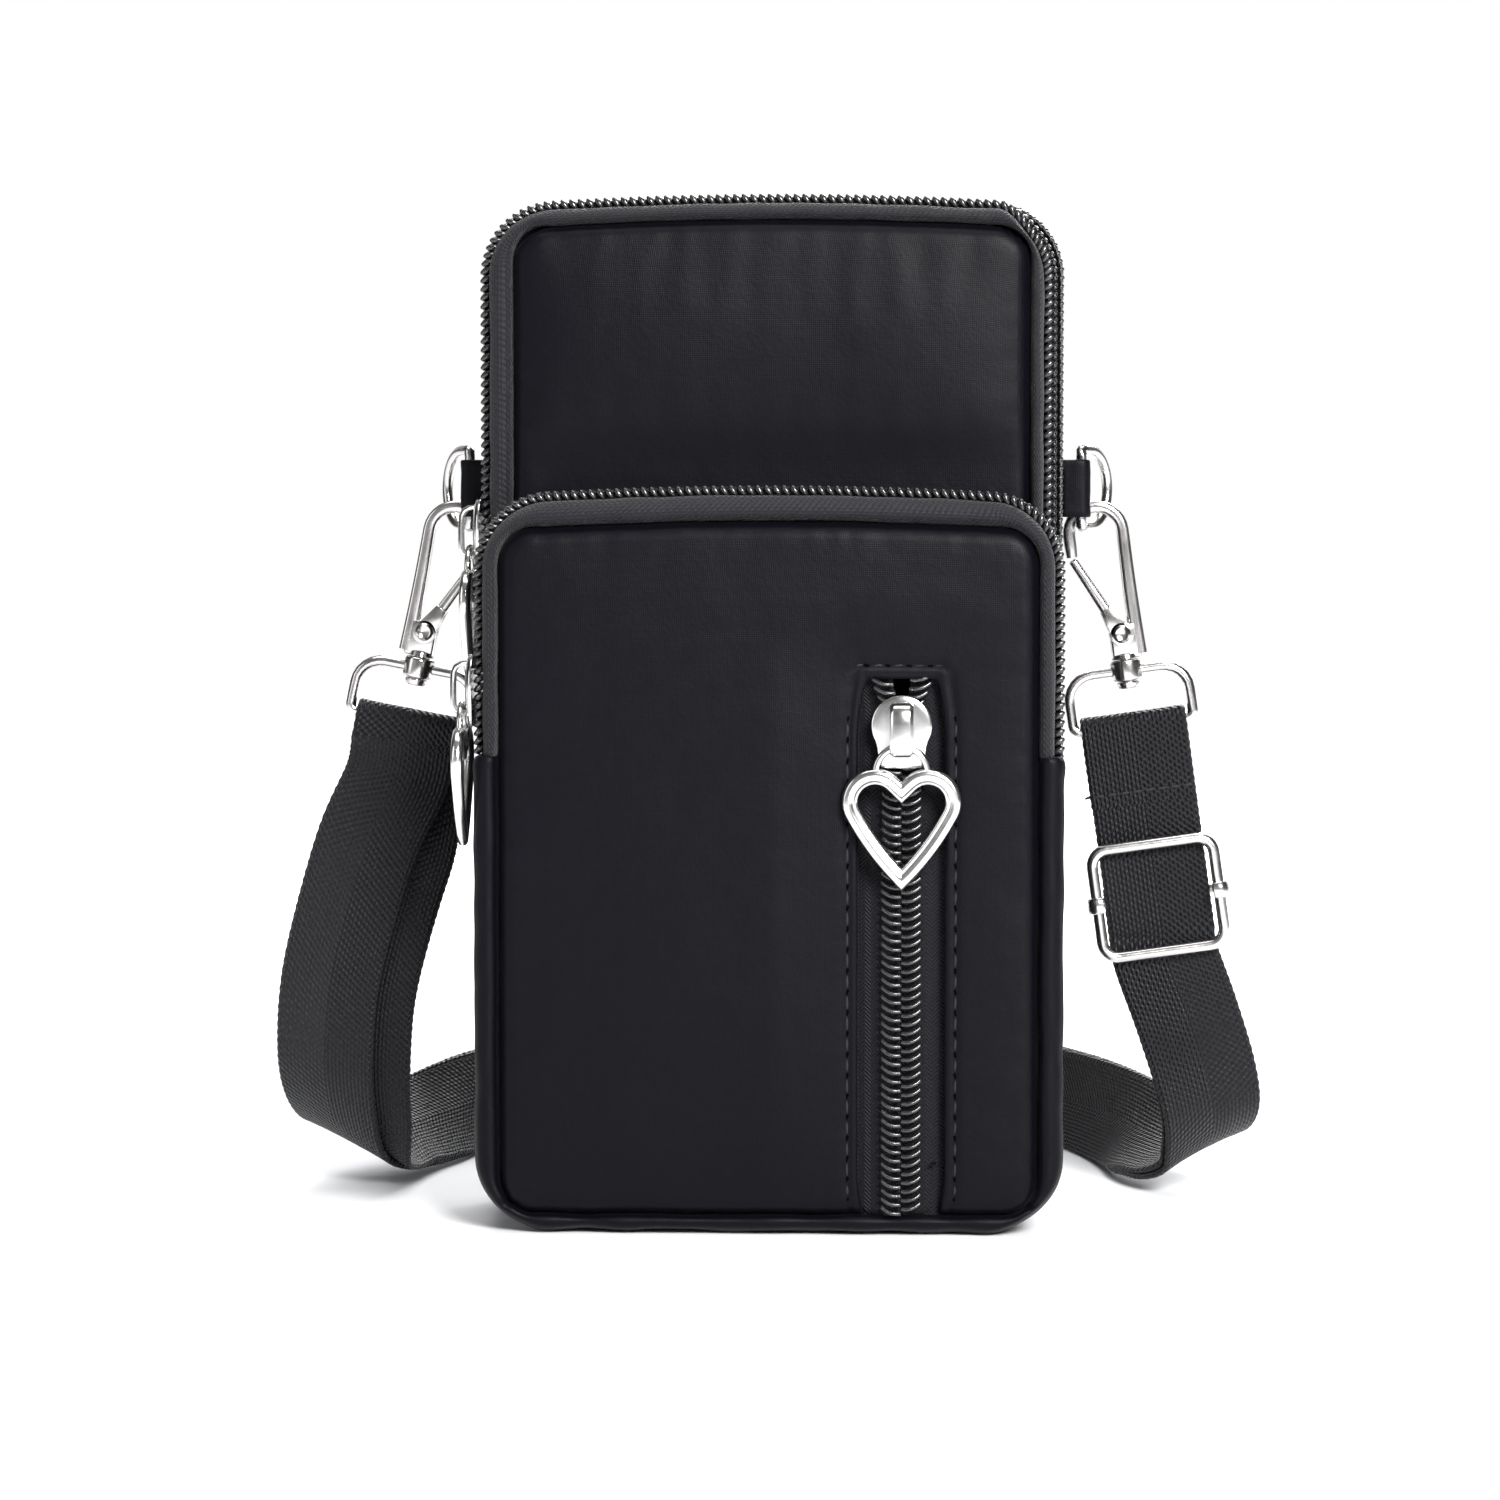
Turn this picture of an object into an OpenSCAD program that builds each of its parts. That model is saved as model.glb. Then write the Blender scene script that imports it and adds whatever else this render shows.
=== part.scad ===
// Small upright nylon phone pouch with zips, snap hooks and a webbing strap.
// It stands on its base, centred on the origin, with its front towards -Y.

/* [Pouch] */
// Width over the side gussets
pouch_w = 108; // [90:1:140]
// Height of the main compartment
pouch_h = 190; // [170:1:230]
// Depth from the back face to the pocket's front face
pouch_depth = 42; // [38:1:56]
// Radius of the outer corners
corner_r = 14; // [9:0.5:16]
// Thickness of one layer of outer fabric
skin_t = 0.8; // [0.6:0.1:1.2]
// Thickness of the foam in a padded panel
foam_t = 2.2; // [1.5:0.1:3]
// Thickness of a lining sheet
lining_t = 0.5; // [0.4:0.1:0.8]

/* [Pocket] */
// Height of the front pocket
pocket_h = 136; // [120:1:150]
// Depth of the front pocket, from the main front face
pocket_depth = 17.5; // [16:0.5:24]
// How far each side of the pocket stands inside the main gusset
pocket_inset = 0.4; // [0.2:0.1:3]

/* [Zips] */
// Width of both rows of a side zip's coil together
coil_w = 5.6; // [4.8:0.2:6.6]
// Height of a coil, through its tape
coil_t = 2.2; // [1.8:0.1:2.6]
// Gap between the two rows, which the slider's neck runs in
coil_gap = 1.4; // [1.2:0.1:1.8]
// Visible width of a side zip's tape behind the coil
tape_w = 2.5; // [2:0.1:3.5]
// How far the front seam stands inside the rolled tape
roll_w = 5; // [3.6:0.2:5.6]
// Distance from the back face to the middle of the main zip
main_zip_back = 17.5; // [15:0.5:20]
// Distance from the pocket's front face to the middle of the pocket zip
pocket_zip_back = 7; // [6.6:0.1:8]
// Height at which both side zips end
zip_end_z = 87; // [75:1:90]

/* [Front zip] */
// Distance of the front zip's middle from the pouch's right side
front_zip_side = 29.8; // [26:0.2:36]
// Width of the window that shows the front zip
window_w = 14.2; // [13.6:0.1:18]
// Height of the window's top above the base
window_top = 101.7; // [85:0.5:110]
// Height of the window's foot above the base
window_foot = 5; // [4:0.5:12]
// Width of both rows of the front coil together
front_coil_w = 7.6; // [6.4:0.2:8.4]
// Depth of the zipped pocket behind the panel
zip_bag_depth = 7; // [6.6:0.1:8]

/* [Sliders and pulls] */
// Length of a slider's plate
slider_len = 12.3; // [10:0.1:14]
// Width of a slider's plate
slider_w = 9.6; // [8.4:0.1:11]
// Thickness of a slider's plates
slider_t = 1; // [0.8:0.1:1.3]
// Thickness of the neck between the plates
neck_t = 1; // [0.8:0.1:1.1]
// Length of the bridge on a slider
bridge_len = 9.6; // [8:0.1:10]
// Width of the bridge
bridge_w = 2.9; // [2.4:0.1:3.4]
// Height of the bridge above the plate
bridge_h = 3.1; // [2.8:0.1:3.6]
// Thickness of the bridge's arch
bridge_t = 0.9; // [0.7:0.1:1]
// Height of the main zip's slider
main_slider_z = 127.5; // [110:0.5:150]
// Height of the pocket zip's slider
pocket_slider_z = 99; // [95:0.5:112]
// Height of the front zip's slider
front_slider_z = 91.8; // [80:0.2:95]
// Width of the heart on a pull
heart_w = 21.6; // [16:0.2:24]
// Height of the heart on a pull
heart_h = 21.6; // [17:0.2:24]
// Width of the heart's bar
heart_bar = 2.9; // [2:0.1:3.2]
// Thickness of the heart
heart_t = 2.2; // [1.6:0.1:2.4]
// Outer width of the pull's loop in the bridge
loop_pull_w = 10.6; // [9:0.2:12]
// Wire of the pull's loop
loop_pull_wire = 1.4; // [1:0.1:1.6]
// Distance from the loop's wire to the top of the heart
loop_pull_drop = 3.8; // [3:0.1:4.4]

/* [D-rings and tabs] */
// Height of the tabs' middle above the base
tab_z = 136; // [125:0.5:150]
// Distance of the tabs in front of the back face
tab_back = 4.4; // [3.4:0.1:5]
// Height of a tab
tab_h = 10.8; // [8:0.2:11]
// Distance of the ring's bar from the gusset
tab_reach = 3.9; // [3.6:0.1:6]
// Wire of a D-ring
dring_wire = 2; // [1.6:0.1:2.4]
// Inner height of a D-ring
dring_in = 12.5; // [12:0.1:14]
// Straight length of a D-ring beside its bar
dring_stub = 3.5; // [3:0.1:5]
// Swing of the D-rings towards the back
dring_swing = 60; // [50:1:68]

/* [Snap hooks] */
// Width of a hook's bar
hook_bar = 2.4; // [2:0.1:3]
// Thickness of a hook's body
hook_t = 2.4; // [2:0.1:2.6]
// Inner radius of a hook's bow
bow_r = 3.9; // [3.6:0.1:4.5]
// Height of the bow's centre above the gate's rivet
bow_z = 19.6; // [17:0.1:22]
// Distance of the bow's centre from the rivet, towards the pouch
bow_in = 2.2; // [1.8:0.1:3]
// Length of the nose that hangs from the bow
nose_len = 4; // [2.5:0.1:5]
// Radius of the gate's rivet
rivet_r = 1.1; // [0.9:0.1:1.3]
// Radius of the swivel's stem
stem_r = 1.2; // [1:0.1:1.4]
// Length of the swivel's eye
eye_len = 4.2; // [3:0.1:5]
// Lean of the left hook
hook_lean_left = 11; // [6:0.5:12]
// Lean of the right hook
hook_lean_right = 8; // [6:0.5:12]

/* [Strap loops] */
// How much wider a strap loop is than the webbing
ring_spare = 5; // [4.8:0.2:8]
// Outer height of a strap loop
ring_h = 12.4; // [12:0.2:16]
// Wire of a strap loop
ring_wire = 2; // [1.8:0.1:2.1]

/* [Strap] */
// Width of the webbing
strap_w = 20; // [18:0.5:24]
// Thickness of the webbing
strap_t = 1.2; // [1:0.1:1.5]
// How far the strap bows out beside the loops
strap_bow = 17; // [12:1:24]
// How far the strap reaches behind the pouch's middle
strap_back = 128; // [110:1:170]
// Gap between the strap's lower edge and the floor
strap_floor_gap = 0.3; // [0.2:0.1:1]
// Length of the sewn fold below the right loop
fold_len = 15; // [12:0.5:18]
// How far the inner layer stands beside the outer one on the left
layer_step = 7; // [4:0.5:8]

/* [Adjuster] */
// How much wider the adjuster is than the webbing
adjuster_spare = 5.4; // [5:0.2:8]
// Outer height of the adjuster
adjuster_h = 22.8; // [20:0.2:26]
// Wire of the adjuster
adjuster_wire = 2.2; // [1.8:0.1:2.3]
// Outer corner radius of the adjuster
adjuster_r = 4.2; // [3.4:0.2:5]
// Distance of the adjuster's middle below the right loop's bar
adjuster_drop = 33; // [31:0.5:36]

/* [Hidden] */

$fn = 48;

// one overrun serves every cut that runs past a face
overrun = 1;
// running clearances of pins, plates and soft neighbours
pin_clear = 0.06;
plate_clear = 0.3;
soft_clear = 0.3;
cheek_clear = 0.15;
cheek_t = 0.7;

// faces of the layers, from the back of the pouch to its front
back_y = pouch_depth/2;
front_y = -pouch_depth/2;
gusset_back_y = back_y - skin_t;
main_zip_y = back_y - main_zip_back;
main_tape_back_y = main_zip_y + coil_w/2 + tape_w;
main_front_y = front_y + pocket_depth;
main_roll_y = main_front_y + skin_t;
pocket_back_y = main_front_y;
pocket_zip_y = front_y + pocket_zip_back;
pocket_tape_back_y = pocket_zip_y + coil_w/2 + tape_w;
pocket_roll_y = front_y + skin_t;

// outlines of the main compartment and of the pocket
main_w = pouch_w;
front_zip_x = pouch_w/2 - front_zip_side;
pocket_w = pouch_w - 2*pocket_inset;
pocket_foot = pocket_inset;
gusset_t = skin_t + lining_t;
// the tape meets the coil halfway through its height
tape_sink = coil_t/2 - skin_t/2;
// the outer fabric of a panel laps half of the rolled tape
roll_lap = roll_w/2;
seam = roll_w + tape_sink;
panel_edge = gusset_t + soft_clear;

module rounded(w, h, r) {
  translate([r, 0]) square([w - 2*r, h]);
  translate([0, r]) square([w, h - 2*r]);
  for (x = [r, w - r], y = [r, h - r])
    translate([x, y]) circle(r);
}

// outline in the front view, centred on X, standing inset from a full one
module outline(w, h, foot, r, inset) {
  translate([-w/2 + inset, foot + inset])
    rounded(w - 2*inset, h - foot - 2*inset, r - inset);
}

// turns a front-view outline into a slab from y0 forwards to y1
module slab(y0, y1) {
  translate([0, y0, 0]) rotate([90, 0, 0]) linear_extrude(y0 - y1) children();
}

// keeps what lies above or below the height z of a front-view outline
module above(z) {
  intersection() {
    children();
    translate([-pouch_w, z]) square([2*pouch_w, pouch_h]);
  }
}
module below(z) {
  intersection() {
    children();
    translate([-pouch_w, z - pouch_h]) square([2*pouch_w, pouch_h]);
  }
}

// wall of a gusset or tape: a band of the outline, as deep as its wall
module band(w, h, foot, inset, wall) {
  difference() {
    outline(w, h, foot, corner_r, inset);
    outline(w, h, foot, corner_r, inset + wall);
  }
}

// main compartment
module back_panel() {
  color("#17171c") slab(back_y, gusset_back_y)
    outline(main_w, pouch_h, 0, corner_r, 0);
}
module back_foam() {
  color("#3a3a3e") slab(gusset_back_y, gusset_back_y - foam_t)
    outline(main_w, pouch_h, 0, corner_r, panel_edge);
}
module back_lining() {
  color("#222226") slab(gusset_back_y - foam_t, gusset_back_y - foam_t - lining_t)
    outline(main_w, pouch_h, 0, corner_r, panel_edge);
}
module main_gusset_upper() {
  color("#17171c") slab(gusset_back_y, main_tape_back_y)
    above(zip_end_z) band(main_w, pouch_h, 0, 0, gusset_t);
}
module main_gusset_lower() {
  color("#17171c") slab(gusset_back_y, main_roll_y)
    below(zip_end_z) band(main_w, pouch_h, 0, 0, gusset_t);
}
module main_zip_tape_rear() {
  color("#101014") slab(main_tape_back_y, main_zip_y + coil_w/2)
    above(zip_end_z) band(main_w, pouch_h, 0, tape_sink, skin_t);
}
module main_coil_rear() {
  color("#0a0a0c") slab(main_zip_y + coil_w/2, main_zip_y + coil_gap/2)
    above(zip_end_z) band(main_w, pouch_h, 0, 0, coil_t);
}
module main_coil_front() {
  color("#0a0a0c") slab(main_zip_y - coil_gap/2, main_zip_y - coil_w/2)
    above(zip_end_z) band(main_w, pouch_h, 0, 0, coil_t);
}
module main_zip_tape_front() {
  color("#101014") slab(main_zip_y - coil_w/2, main_roll_y)
    above(zip_end_z) band(main_w, pouch_h, 0, tape_sink, roll_w);
}
module main_front_panel() {
  color("#17171c") slab(main_roll_y, main_front_y)
    outline(main_w, pouch_h, 0, corner_r, seam - roll_lap);
}
module main_front_lining() {
  color("#222226") slab(main_roll_y + lining_t, main_roll_y)
    outline(main_w, pouch_h, 0, corner_r, seam + soft_clear);
}

// front pocket
module pocket_gusset_upper() {
  color("#17171c") slab(pocket_back_y, pocket_tape_back_y)
    above(zip_end_z) band(pocket_w, pocket_h, pocket_foot, 0, gusset_t);
}
module pocket_gusset_lower() {
  color("#17171c") slab(pocket_back_y, pocket_roll_y)
    below(zip_end_z) band(pocket_w, pocket_h, pocket_foot, 0, gusset_t);
}
module pocket_zip_tape_rear() {
  color("#101014") slab(pocket_tape_back_y, pocket_zip_y + coil_w/2)
    above(zip_end_z) band(pocket_w, pocket_h, pocket_foot, tape_sink, skin_t);
}
module pocket_coil_rear() {
  color("#0a0a0c") slab(pocket_zip_y + coil_w/2, pocket_zip_y + coil_gap/2)
    above(zip_end_z) band(pocket_w, pocket_h, pocket_foot, 0, coil_t);
}
module pocket_coil_front() {
  color("#0a0a0c") slab(pocket_zip_y - coil_gap/2, pocket_zip_y - coil_w/2)
    above(zip_end_z) band(pocket_w, pocket_h, pocket_foot, 0, coil_t);
}
module pocket_zip_tape_front() {
  color("#101014") slab(pocket_zip_y - coil_w/2, pocket_roll_y)
    above(zip_end_z) band(pocket_w, pocket_h, pocket_foot, tape_sink, roll_w);
}

// front zip in the pocket's panel; its tapes lie behind the panel
tape_front_y = pocket_roll_y;
tape_back_y = tape_front_y + skin_t;
front_coil_back_y = tape_front_y + skin_t/2 + coil_t/2;
front_coil_front_y = front_coil_back_y - coil_t;
lining_back_y = tape_back_y + lining_t;
bag_back_y = tape_back_y + zip_bag_depth + lining_t;
tape_over = 3;
bag_margin = 1.5;
bag_w = window_w + 2*tape_over + 2*bag_margin;

module window(x0, x1, z0, z1) {
  translate([front_zip_x + x0, z0]) square([x1 - x0, z1 - z0]);
}
module pocket_front_panel() {
  color("#17171c") slab(pocket_roll_y, front_y) difference() {
    outline(pocket_w, pocket_h, pocket_foot, corner_r, seam - roll_lap);
    window(-window_w/2, window_w/2, window_foot, window_top);
  }
}
stop_h = 1.6;
module pocket_front_lining() {
  color("#222226") slab(lining_back_y, tape_back_y) difference() {
    outline(pocket_w, pocket_h, pocket_foot, corner_r, seam + soft_clear);
    window(-window_w/2, window_w/2, window_foot, window_top + stop_h + 2*soft_clear);
  }
}
bag_foot = pocket_foot + seam + soft_clear;
bag_top = window_top + tape_over + bag_margin;
module zip_pocket_bag() {
  color("#222226") {
    slab(bag_back_y, bag_back_y - lining_t)
      window(-bag_w/2, bag_w/2, bag_foot, bag_top);
    slab(bag_back_y - lining_t, lining_back_y) difference() {
      window(-bag_w/2, bag_w/2, bag_foot, bag_top);
      window(-bag_w/2 + lining_t, bag_w/2 - lining_t, bag_foot + lining_t, bag_top - lining_t);
    }
  }
}
module front_tape(side) {
  x0 = front_coil_w/2;
  x1 = window_w/2 + tape_over;
  color("#101014") slab(tape_back_y, tape_front_y)
    window(min(side*x0, side*x1), max(side*x0, side*x1), bag_foot, window_top + tape_over);
}
module front_coil(side) {
  x0 = coil_gap/2;
  x1 = front_coil_w/2;
  color("#0a0a0c") slab(front_coil_back_y, front_coil_front_y)
    window(min(side*x0, side*x1), max(side*x0, side*x1), bag_foot + lining_t, window_top);
}
module front_zip_tape_left() { front_tape(-1); }
module front_zip_tape_right() { front_tape(1); }
module front_coil_left() { front_coil(-1); }
module front_coil_right() { front_coil(1); }
module front_zip_stops() {
  x0 = coil_gap/2;
  x1 = front_coil_w/2;
  z = window_top + soft_clear;
  color("#c8c8cc") for (side = [-1, 1])
    slab(front_coil_back_y, tape_back_y)
      window(min(side*x0, side*x1), max(side*x0, side*x1), z, z + stop_h);
}

// slider and pull, built round the middle of a coil that faces -Y:
// the outer face of the coil lies at y = 0
plate_y = -plate_clear;
plate_front_y = plate_y - slider_t;
eye_h = bridge_h - bridge_t;
pull_y = plate_front_y - eye_h/2;
bridge_shift = 0.4;
pull_pivot_z = -bridge_len/2 + loop_pull_wire/2 + bridge_t + pin_clear + bridge_shift;
plate_tip = 3;

module slider_plate() {
  translate([-slider_w/2, -slider_len/2 + plate_tip])
    square([slider_w, slider_len - 2*plate_tip]);
  for (s = [-1, 1])
    translate([0, s*(slider_len/2 - plate_tip)]) intersection() {
      circle(slider_w/2);
      translate([-slider_w/2, -plate_tip]) square([slider_w, 2*plate_tip]);
    }
}
module slider() {
  neck_h = slider_len - 2*plate_tip;
  color("#d8d8dc") {
    slab(plate_y, plate_front_y) slider_plate();
    slab(coil_t + plate_clear + slider_t, coil_t + plate_clear)
      square([coil_w - soft_clear, slider_len - plate_tip], center = true);
    translate([-neck_t/2, plate_front_y + slider_t/2, -neck_h/2])
      cube([neck_t, coil_t + 2*plate_clear + slider_t, neck_h]);
    translate([bridge_w/2, plate_front_y, bridge_shift]) rotate([90, 0, -90])
      linear_extrude(bridge_w) bridge_outline();
  }
}
// bridge seen from the side, with its eye at the foot
module bridge_outline() {
  eye_r = eye_h/2;
  difference() {
    union() {
      translate([0, -bridge_len/2 + bridge_h/2])
        square([bridge_h, bridge_len - bridge_h]);
      for (s = [-1, 1])
        translate([bridge_h/2, s*(bridge_len/2 - bridge_h/2)]) circle(bridge_h/2);
      for (s = [-1, 1])
        translate([-slider_t/2, s*(bridge_len/2 - bridge_h/2) - bridge_h/2])
          square([bridge_h/2 + slider_t/2, bridge_h]);
    }
    translate([eye_r, pull_pivot_z - bridge_shift]) circle(eye_r);
    translate([eye_r, bridge_len/2 - bridge_t - eye_r]) circle(eye_r);
    translate([0, pull_pivot_z - bridge_shift])
      square([eye_h, bridge_len/2 - bridge_t - eye_r - pull_pivot_z + bridge_shift]);
  }
}

// heart with its lobes' tops at z = 0, drawn in by the width of its bar
lobe_share = 0.27;
lobe_steps = 16;
cleft_steps = 4;
function arc(c, r, a0, a1, n, first, end) =
  [for (k = [first:end]) let (a = a0 + (a1 - a0)*k/n) c + [r*cos(a), r*sin(a)]];
module heart(w, h, in) {
  r = lobe_share*w;
  x = w/2 - r;
  reach = norm([x, h - r]);
  side = atan2(h - r, x) - asin(r/reach);
  tip = -h + in/cos(side);
  cleft = -r + sqrt(r*r - x*x);
  to_cleft = atan2(cleft + r, -x);
  lobe = arc([x, -r], r - in, side - 90, to_cleft, lobe_steps, 0, lobe_steps - 1);
  dip = in > 0 ? arc([0, cleft], in, to_cleft - 180, -90, cleft_steps, 0, cleft_steps - 1) : [];
  half = concat(lobe, dip);
  polygon(concat([[0, tip]], half, [[0, cleft - in]],
    [for (i = [len(half) - 1:-1:0]) [-half[i].x, half[i].y]]));
}

module pull() {
  loop_r = loop_pull_w/2 - loop_pull_wire/2;
  leg = max(loop_pull_drop + heart_bar/2 - loop_r, soft_clear);
  translate([0, pull_y, pull_pivot_z]) color("#d8d8dc") {
    // half a ring hangs in the eye, and its two legs end inside the lobes
    translate([0, 0, -loop_r]) rotate([90, 0, 0])
      rotate_extrude(angle = 180) translate([loop_r, 0]) circle(d = loop_pull_wire, $fn = 32);
    for (s = [-1, 1]) translate([s*loop_r, 0, -loop_r - leg])
      cylinder(h = leg, d = loop_pull_wire, $fn = 32);
    translate([0, heart_t/2, -loop_pull_drop]) rotate([90, 0, 0])
      linear_extrude(heart_t) difference() {
        heart(heart_w, heart_h, 0);
        heart(heart_w, heart_h, heart_bar);
      }
  }
}

// places on the three zips: outer face of each coil
module on_main() {
  translate([-main_w/2, main_zip_y, main_slider_z]) rotate([0, 0, -90]) children();
}
module on_pocket() {
  translate([-pocket_w/2, pocket_zip_y, pocket_slider_z]) rotate([0, 0, -90]) children();
}
module on_front() {
  translate([front_zip_x, front_coil_front_y, front_slider_z]) children();
}
module main_slider() { on_main() slider(); }
module main_pull() { on_main() pull(); }
module pocket_slider() { on_pocket() slider(); }
module pocket_pull() { on_pocket() pull(); }
module front_slider() { on_front() slider(); }
module front_pull() { on_front() pull(); }

// tabs and D-rings; side is -1 on the left and 1 on the right
tab_y = back_y - tab_back;
tab_x = pouch_w/2 + tab_reach;
tab_r = dring_wire/2 + skin_t;
dring_r = dring_in/2 + dring_wire/2;

module tab(side) {
  color("#17171c") translate([0, tab_y, tab_z - tab_h/2]) difference() {
    union() {
      translate([side*tab_x, 0, 0]) cylinder(h = tab_h, r = tab_r);
      translate([side > 0 ? pouch_w/2 : -tab_x, -tab_r, 0]) cube([tab_reach, 2*tab_r, tab_h]);
    }
    translate([side*tab_x, 0, -overrun])
      cylinder(h = tab_h + 2*overrun, r = dring_wire/2 + pin_clear);
  }
}
module dring(side) {
  color("#d0d0d4") translate([side*tab_x, tab_y, tab_z])
    rotate([0, 0, side > 0 ? dring_swing : 180 - dring_swing]) {
      translate([0, 0, -dring_r]) cylinder(h = 2*dring_r, d = dring_wire);
      for (s = [-1, 1]) translate([0, 0, s*dring_r]) {
        sphere(d = dring_wire);
        rotate([0, 90, 0]) cylinder(h = dring_stub, d = dring_wire);
      }
      translate([dring_stub, 0, 0]) rotate([90, 0, 0]) rotate([0, 0, -90])
        rotate_extrude(angle = 180) translate([dring_r, 0]) circle(d = dring_wire, $fn = 32);
    }
}
module tab_left() { tab(-1); }
module tab_right() { tab(1); }
module dring_left() { dring(-1); }
module dring_right() { dring(1); }

// snap hook: x points out from the pouch, z up, the rivet at the origin
hang_out = 0.2;
hang_up = 1.6;
hang_s = dring_stub + dring_wire/2;
hang_y = tab_y + hang_s*sin(dring_swing);
hang_x = tab_x + hang_s*cos(dring_swing) + hang_out;
hang_z = tab_z - dring_in/2 + hang_up;
bow_top_z = bow_z + bow_r;
block_x = -rivet_r - hook_bar/2;
spine_x = bow_r - bow_in;
block_foot = -4.8;
block_top = 2.4;
rivet_slot = 1.3;
spring_r = 1.9;
spring_wall = 0.5;
eye_top = block_foot - pin_clear;
eye_foot = eye_top - eye_len;
eye_r = 2.9;
stem_head = 1.3;
stem_head_r = 2.2;
ring_top_z = eye_foot + eye_len/2;
ring_bar_z = ring_top_z - ring_h + ring_wire;

function lean(side) = side > 0 ? hook_lean_right : hook_lean_left;
// rivet of a hook in the pouch's frame: its bow rests on the D-ring
function rivet_at(side) = [
  side*(hang_x + bow_in*cos(lean(side)) + bow_top_z*sin(lean(side))),
  hang_y,
  hang_z + bow_in*sin(lean(side)) - bow_top_z*cos(lean(side))
];
module hang(side) {
  translate(rivet_at(side)) mirror([side > 0 ? 0 : 1, 0, 0])
    rotate([0, -lean(side), 0]) children();
}
module hook_outline() {
  translate([spine_x, block_foot]) square([hook_bar, bow_z - block_foot]);
  translate([-bow_in, bow_z]) difference() {
    circle(bow_r + hook_bar);
    circle(bow_r);
    translate([-bow_r - hook_bar - overrun, -bow_r - hook_bar - overrun])
      square([2*(bow_r + hook_bar + overrun), bow_r + hook_bar + overrun]);
  }
  translate([-bow_in - bow_r - hook_bar, bow_z - nose_len]) square([hook_bar, nose_len]);
  translate([block_x, block_foot]) square([spine_x - block_x, block_top - block_foot]);
}
module hook_body(side) {
  color("#d0d0d4") hang(side) difference() {
    union() {
      slab(hook_t/2, -hook_t/2) hook_outline();
      translate([0, 0, block_foot - eye_len - 2*pin_clear - stem_head/2])
        cylinder(h = eye_len + 2*pin_clear + stem_head/2 + stem_r, r = stem_r);
      translate([0, 0, eye_foot - pin_clear - stem_head])
        cylinder(h = stem_head, r = stem_head_r);
    }
    translate([0, hook_t/2 + overrun, 0]) rotate([90, 0, 0])
      cylinder(h = hook_t + 2*overrun, r = rivet_r);
    translate([block_x - overrun, -rivet_slot/2, -spring_r - pin_clear])
      cube([overrun - block_x + max(spine_x, spring_r + pin_clear), rivet_slot,
        block_top + spring_r + overrun]);
  }
}
// gate: two cheeks beside the block and a bar up to the nose
gate_w = 2.2;
gate_gap = 0.5;
cheek_r = 2.3;
gate_tip_z = bow_z - nose_len - gate_gap;
gate_tip_x = -bow_in - bow_r - hook_bar/2;
gate_lean = atan2(-gate_tip_x, gate_tip_z);
gate_len = norm([gate_tip_x, gate_tip_z]) - gate_w/2;
cheek_reach = 5.4;
bar_from = norm([block_x, block_top]) + cheek_clear;
module gate(side) {
  color("#b8b8be") hang(side) rotate([0, -gate_lean, 0]) difference() {
    union() {
      for (s = [0, 1]) mirror([0, s, 0])
        slab(hook_t/2 + cheek_clear + cheek_t, hook_t/2 + cheek_clear) {
          circle(cheek_r);
          translate([-gate_w/2, 0]) square([gate_w, cheek_reach]);
        }
      slab(hook_t/2 + cheek_clear + cheek_t, -hook_t/2 - cheek_clear - cheek_t)
        translate([-gate_w/2, bar_from]) square([gate_w, cheek_reach - bar_from]);
      slab(hook_t/2, -hook_t/2) {
        translate([-gate_w/2, bar_from]) square([gate_w, gate_len - bar_from]);
        translate([0, gate_len]) circle(gate_w/2);
      }
    }
    translate([0, hook_t + overrun, 0]) rotate([90, 0, 0])
      cylinder(h = 2*(hook_t + overrun), r = rivet_r + pin_clear);
  }
}
rivet_head_r = 1.7;
rivet_head_t = 0.5;
module gate_rivet(side) {
  half = hook_t/2 + cheek_clear + cheek_t + pin_clear;
  color("#e0e0e4") hang(side) {
    slab(half + rivet_head_t/2, -half - rivet_head_t/2) circle(rivet_r);
    slab(half + rivet_head_t, half) circle(rivet_head_r);
    slab(-half, -half - rivet_head_t) circle(rivet_head_r);
  }
}
module gate_spring(side) {
  color("#909096") hang(side)
    slab(rivet_slot/2 - pin_clear, -rivet_slot/2 + pin_clear) difference() {
      circle(spring_r);
      circle(spring_r - spring_wall);
    }
}
module hook_left() { hook_body(-1); }
module hook_right() { hook_body(1); }
module gate_left() { gate(-1); }
module gate_right() { gate(1); }
module gate_rivet_left() { gate_rivet(-1); }
module gate_rivet_right() { gate_rivet(1); }
module gate_spring_left() { gate_spring(-1); }
module gate_spring_right() { gate_spring(1); }

// rounded wire rectangle in the front view, with its own upper and lower corners
module wire_frame(w, h, r_up, r_low, wire) {
  cw = w/2 - wire/2;
  ch = h/2 - wire/2;
  for (s = [-1, 1]) {
    cr = (s > 0 ? r_up : r_low) - wire/2;
    translate([-cw + cr, 0, s*ch]) rotate([0, 90, 0]) cylinder(h = 2*(cw - cr), d = wire);
    for (t = [-1, 1]) translate([t*(cw - cr), 0, s*(ch - cr)])
      rotate([90, 0, 0]) rotate([0, 0, s > 0 ? (t > 0 ? 0 : 90) : (t > 0 ? 270 : 180)])
        rotate_extrude(angle = 90) translate([cr, 0]) circle(d = wire, $fn = 32);
  }
  foot = -ch + r_low - wire/2;
  for (t = [-1, 1])
    translate([t*cw, 0, foot]) cylinder(h = ch - r_up + wire/2 - foot, d = wire);
}
ring_w = strap_w + ring_spare;
ring_r_up = 6;
ring_r_in = 0.3;
ring_r_low = ring_wire + ring_r_in;
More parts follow.
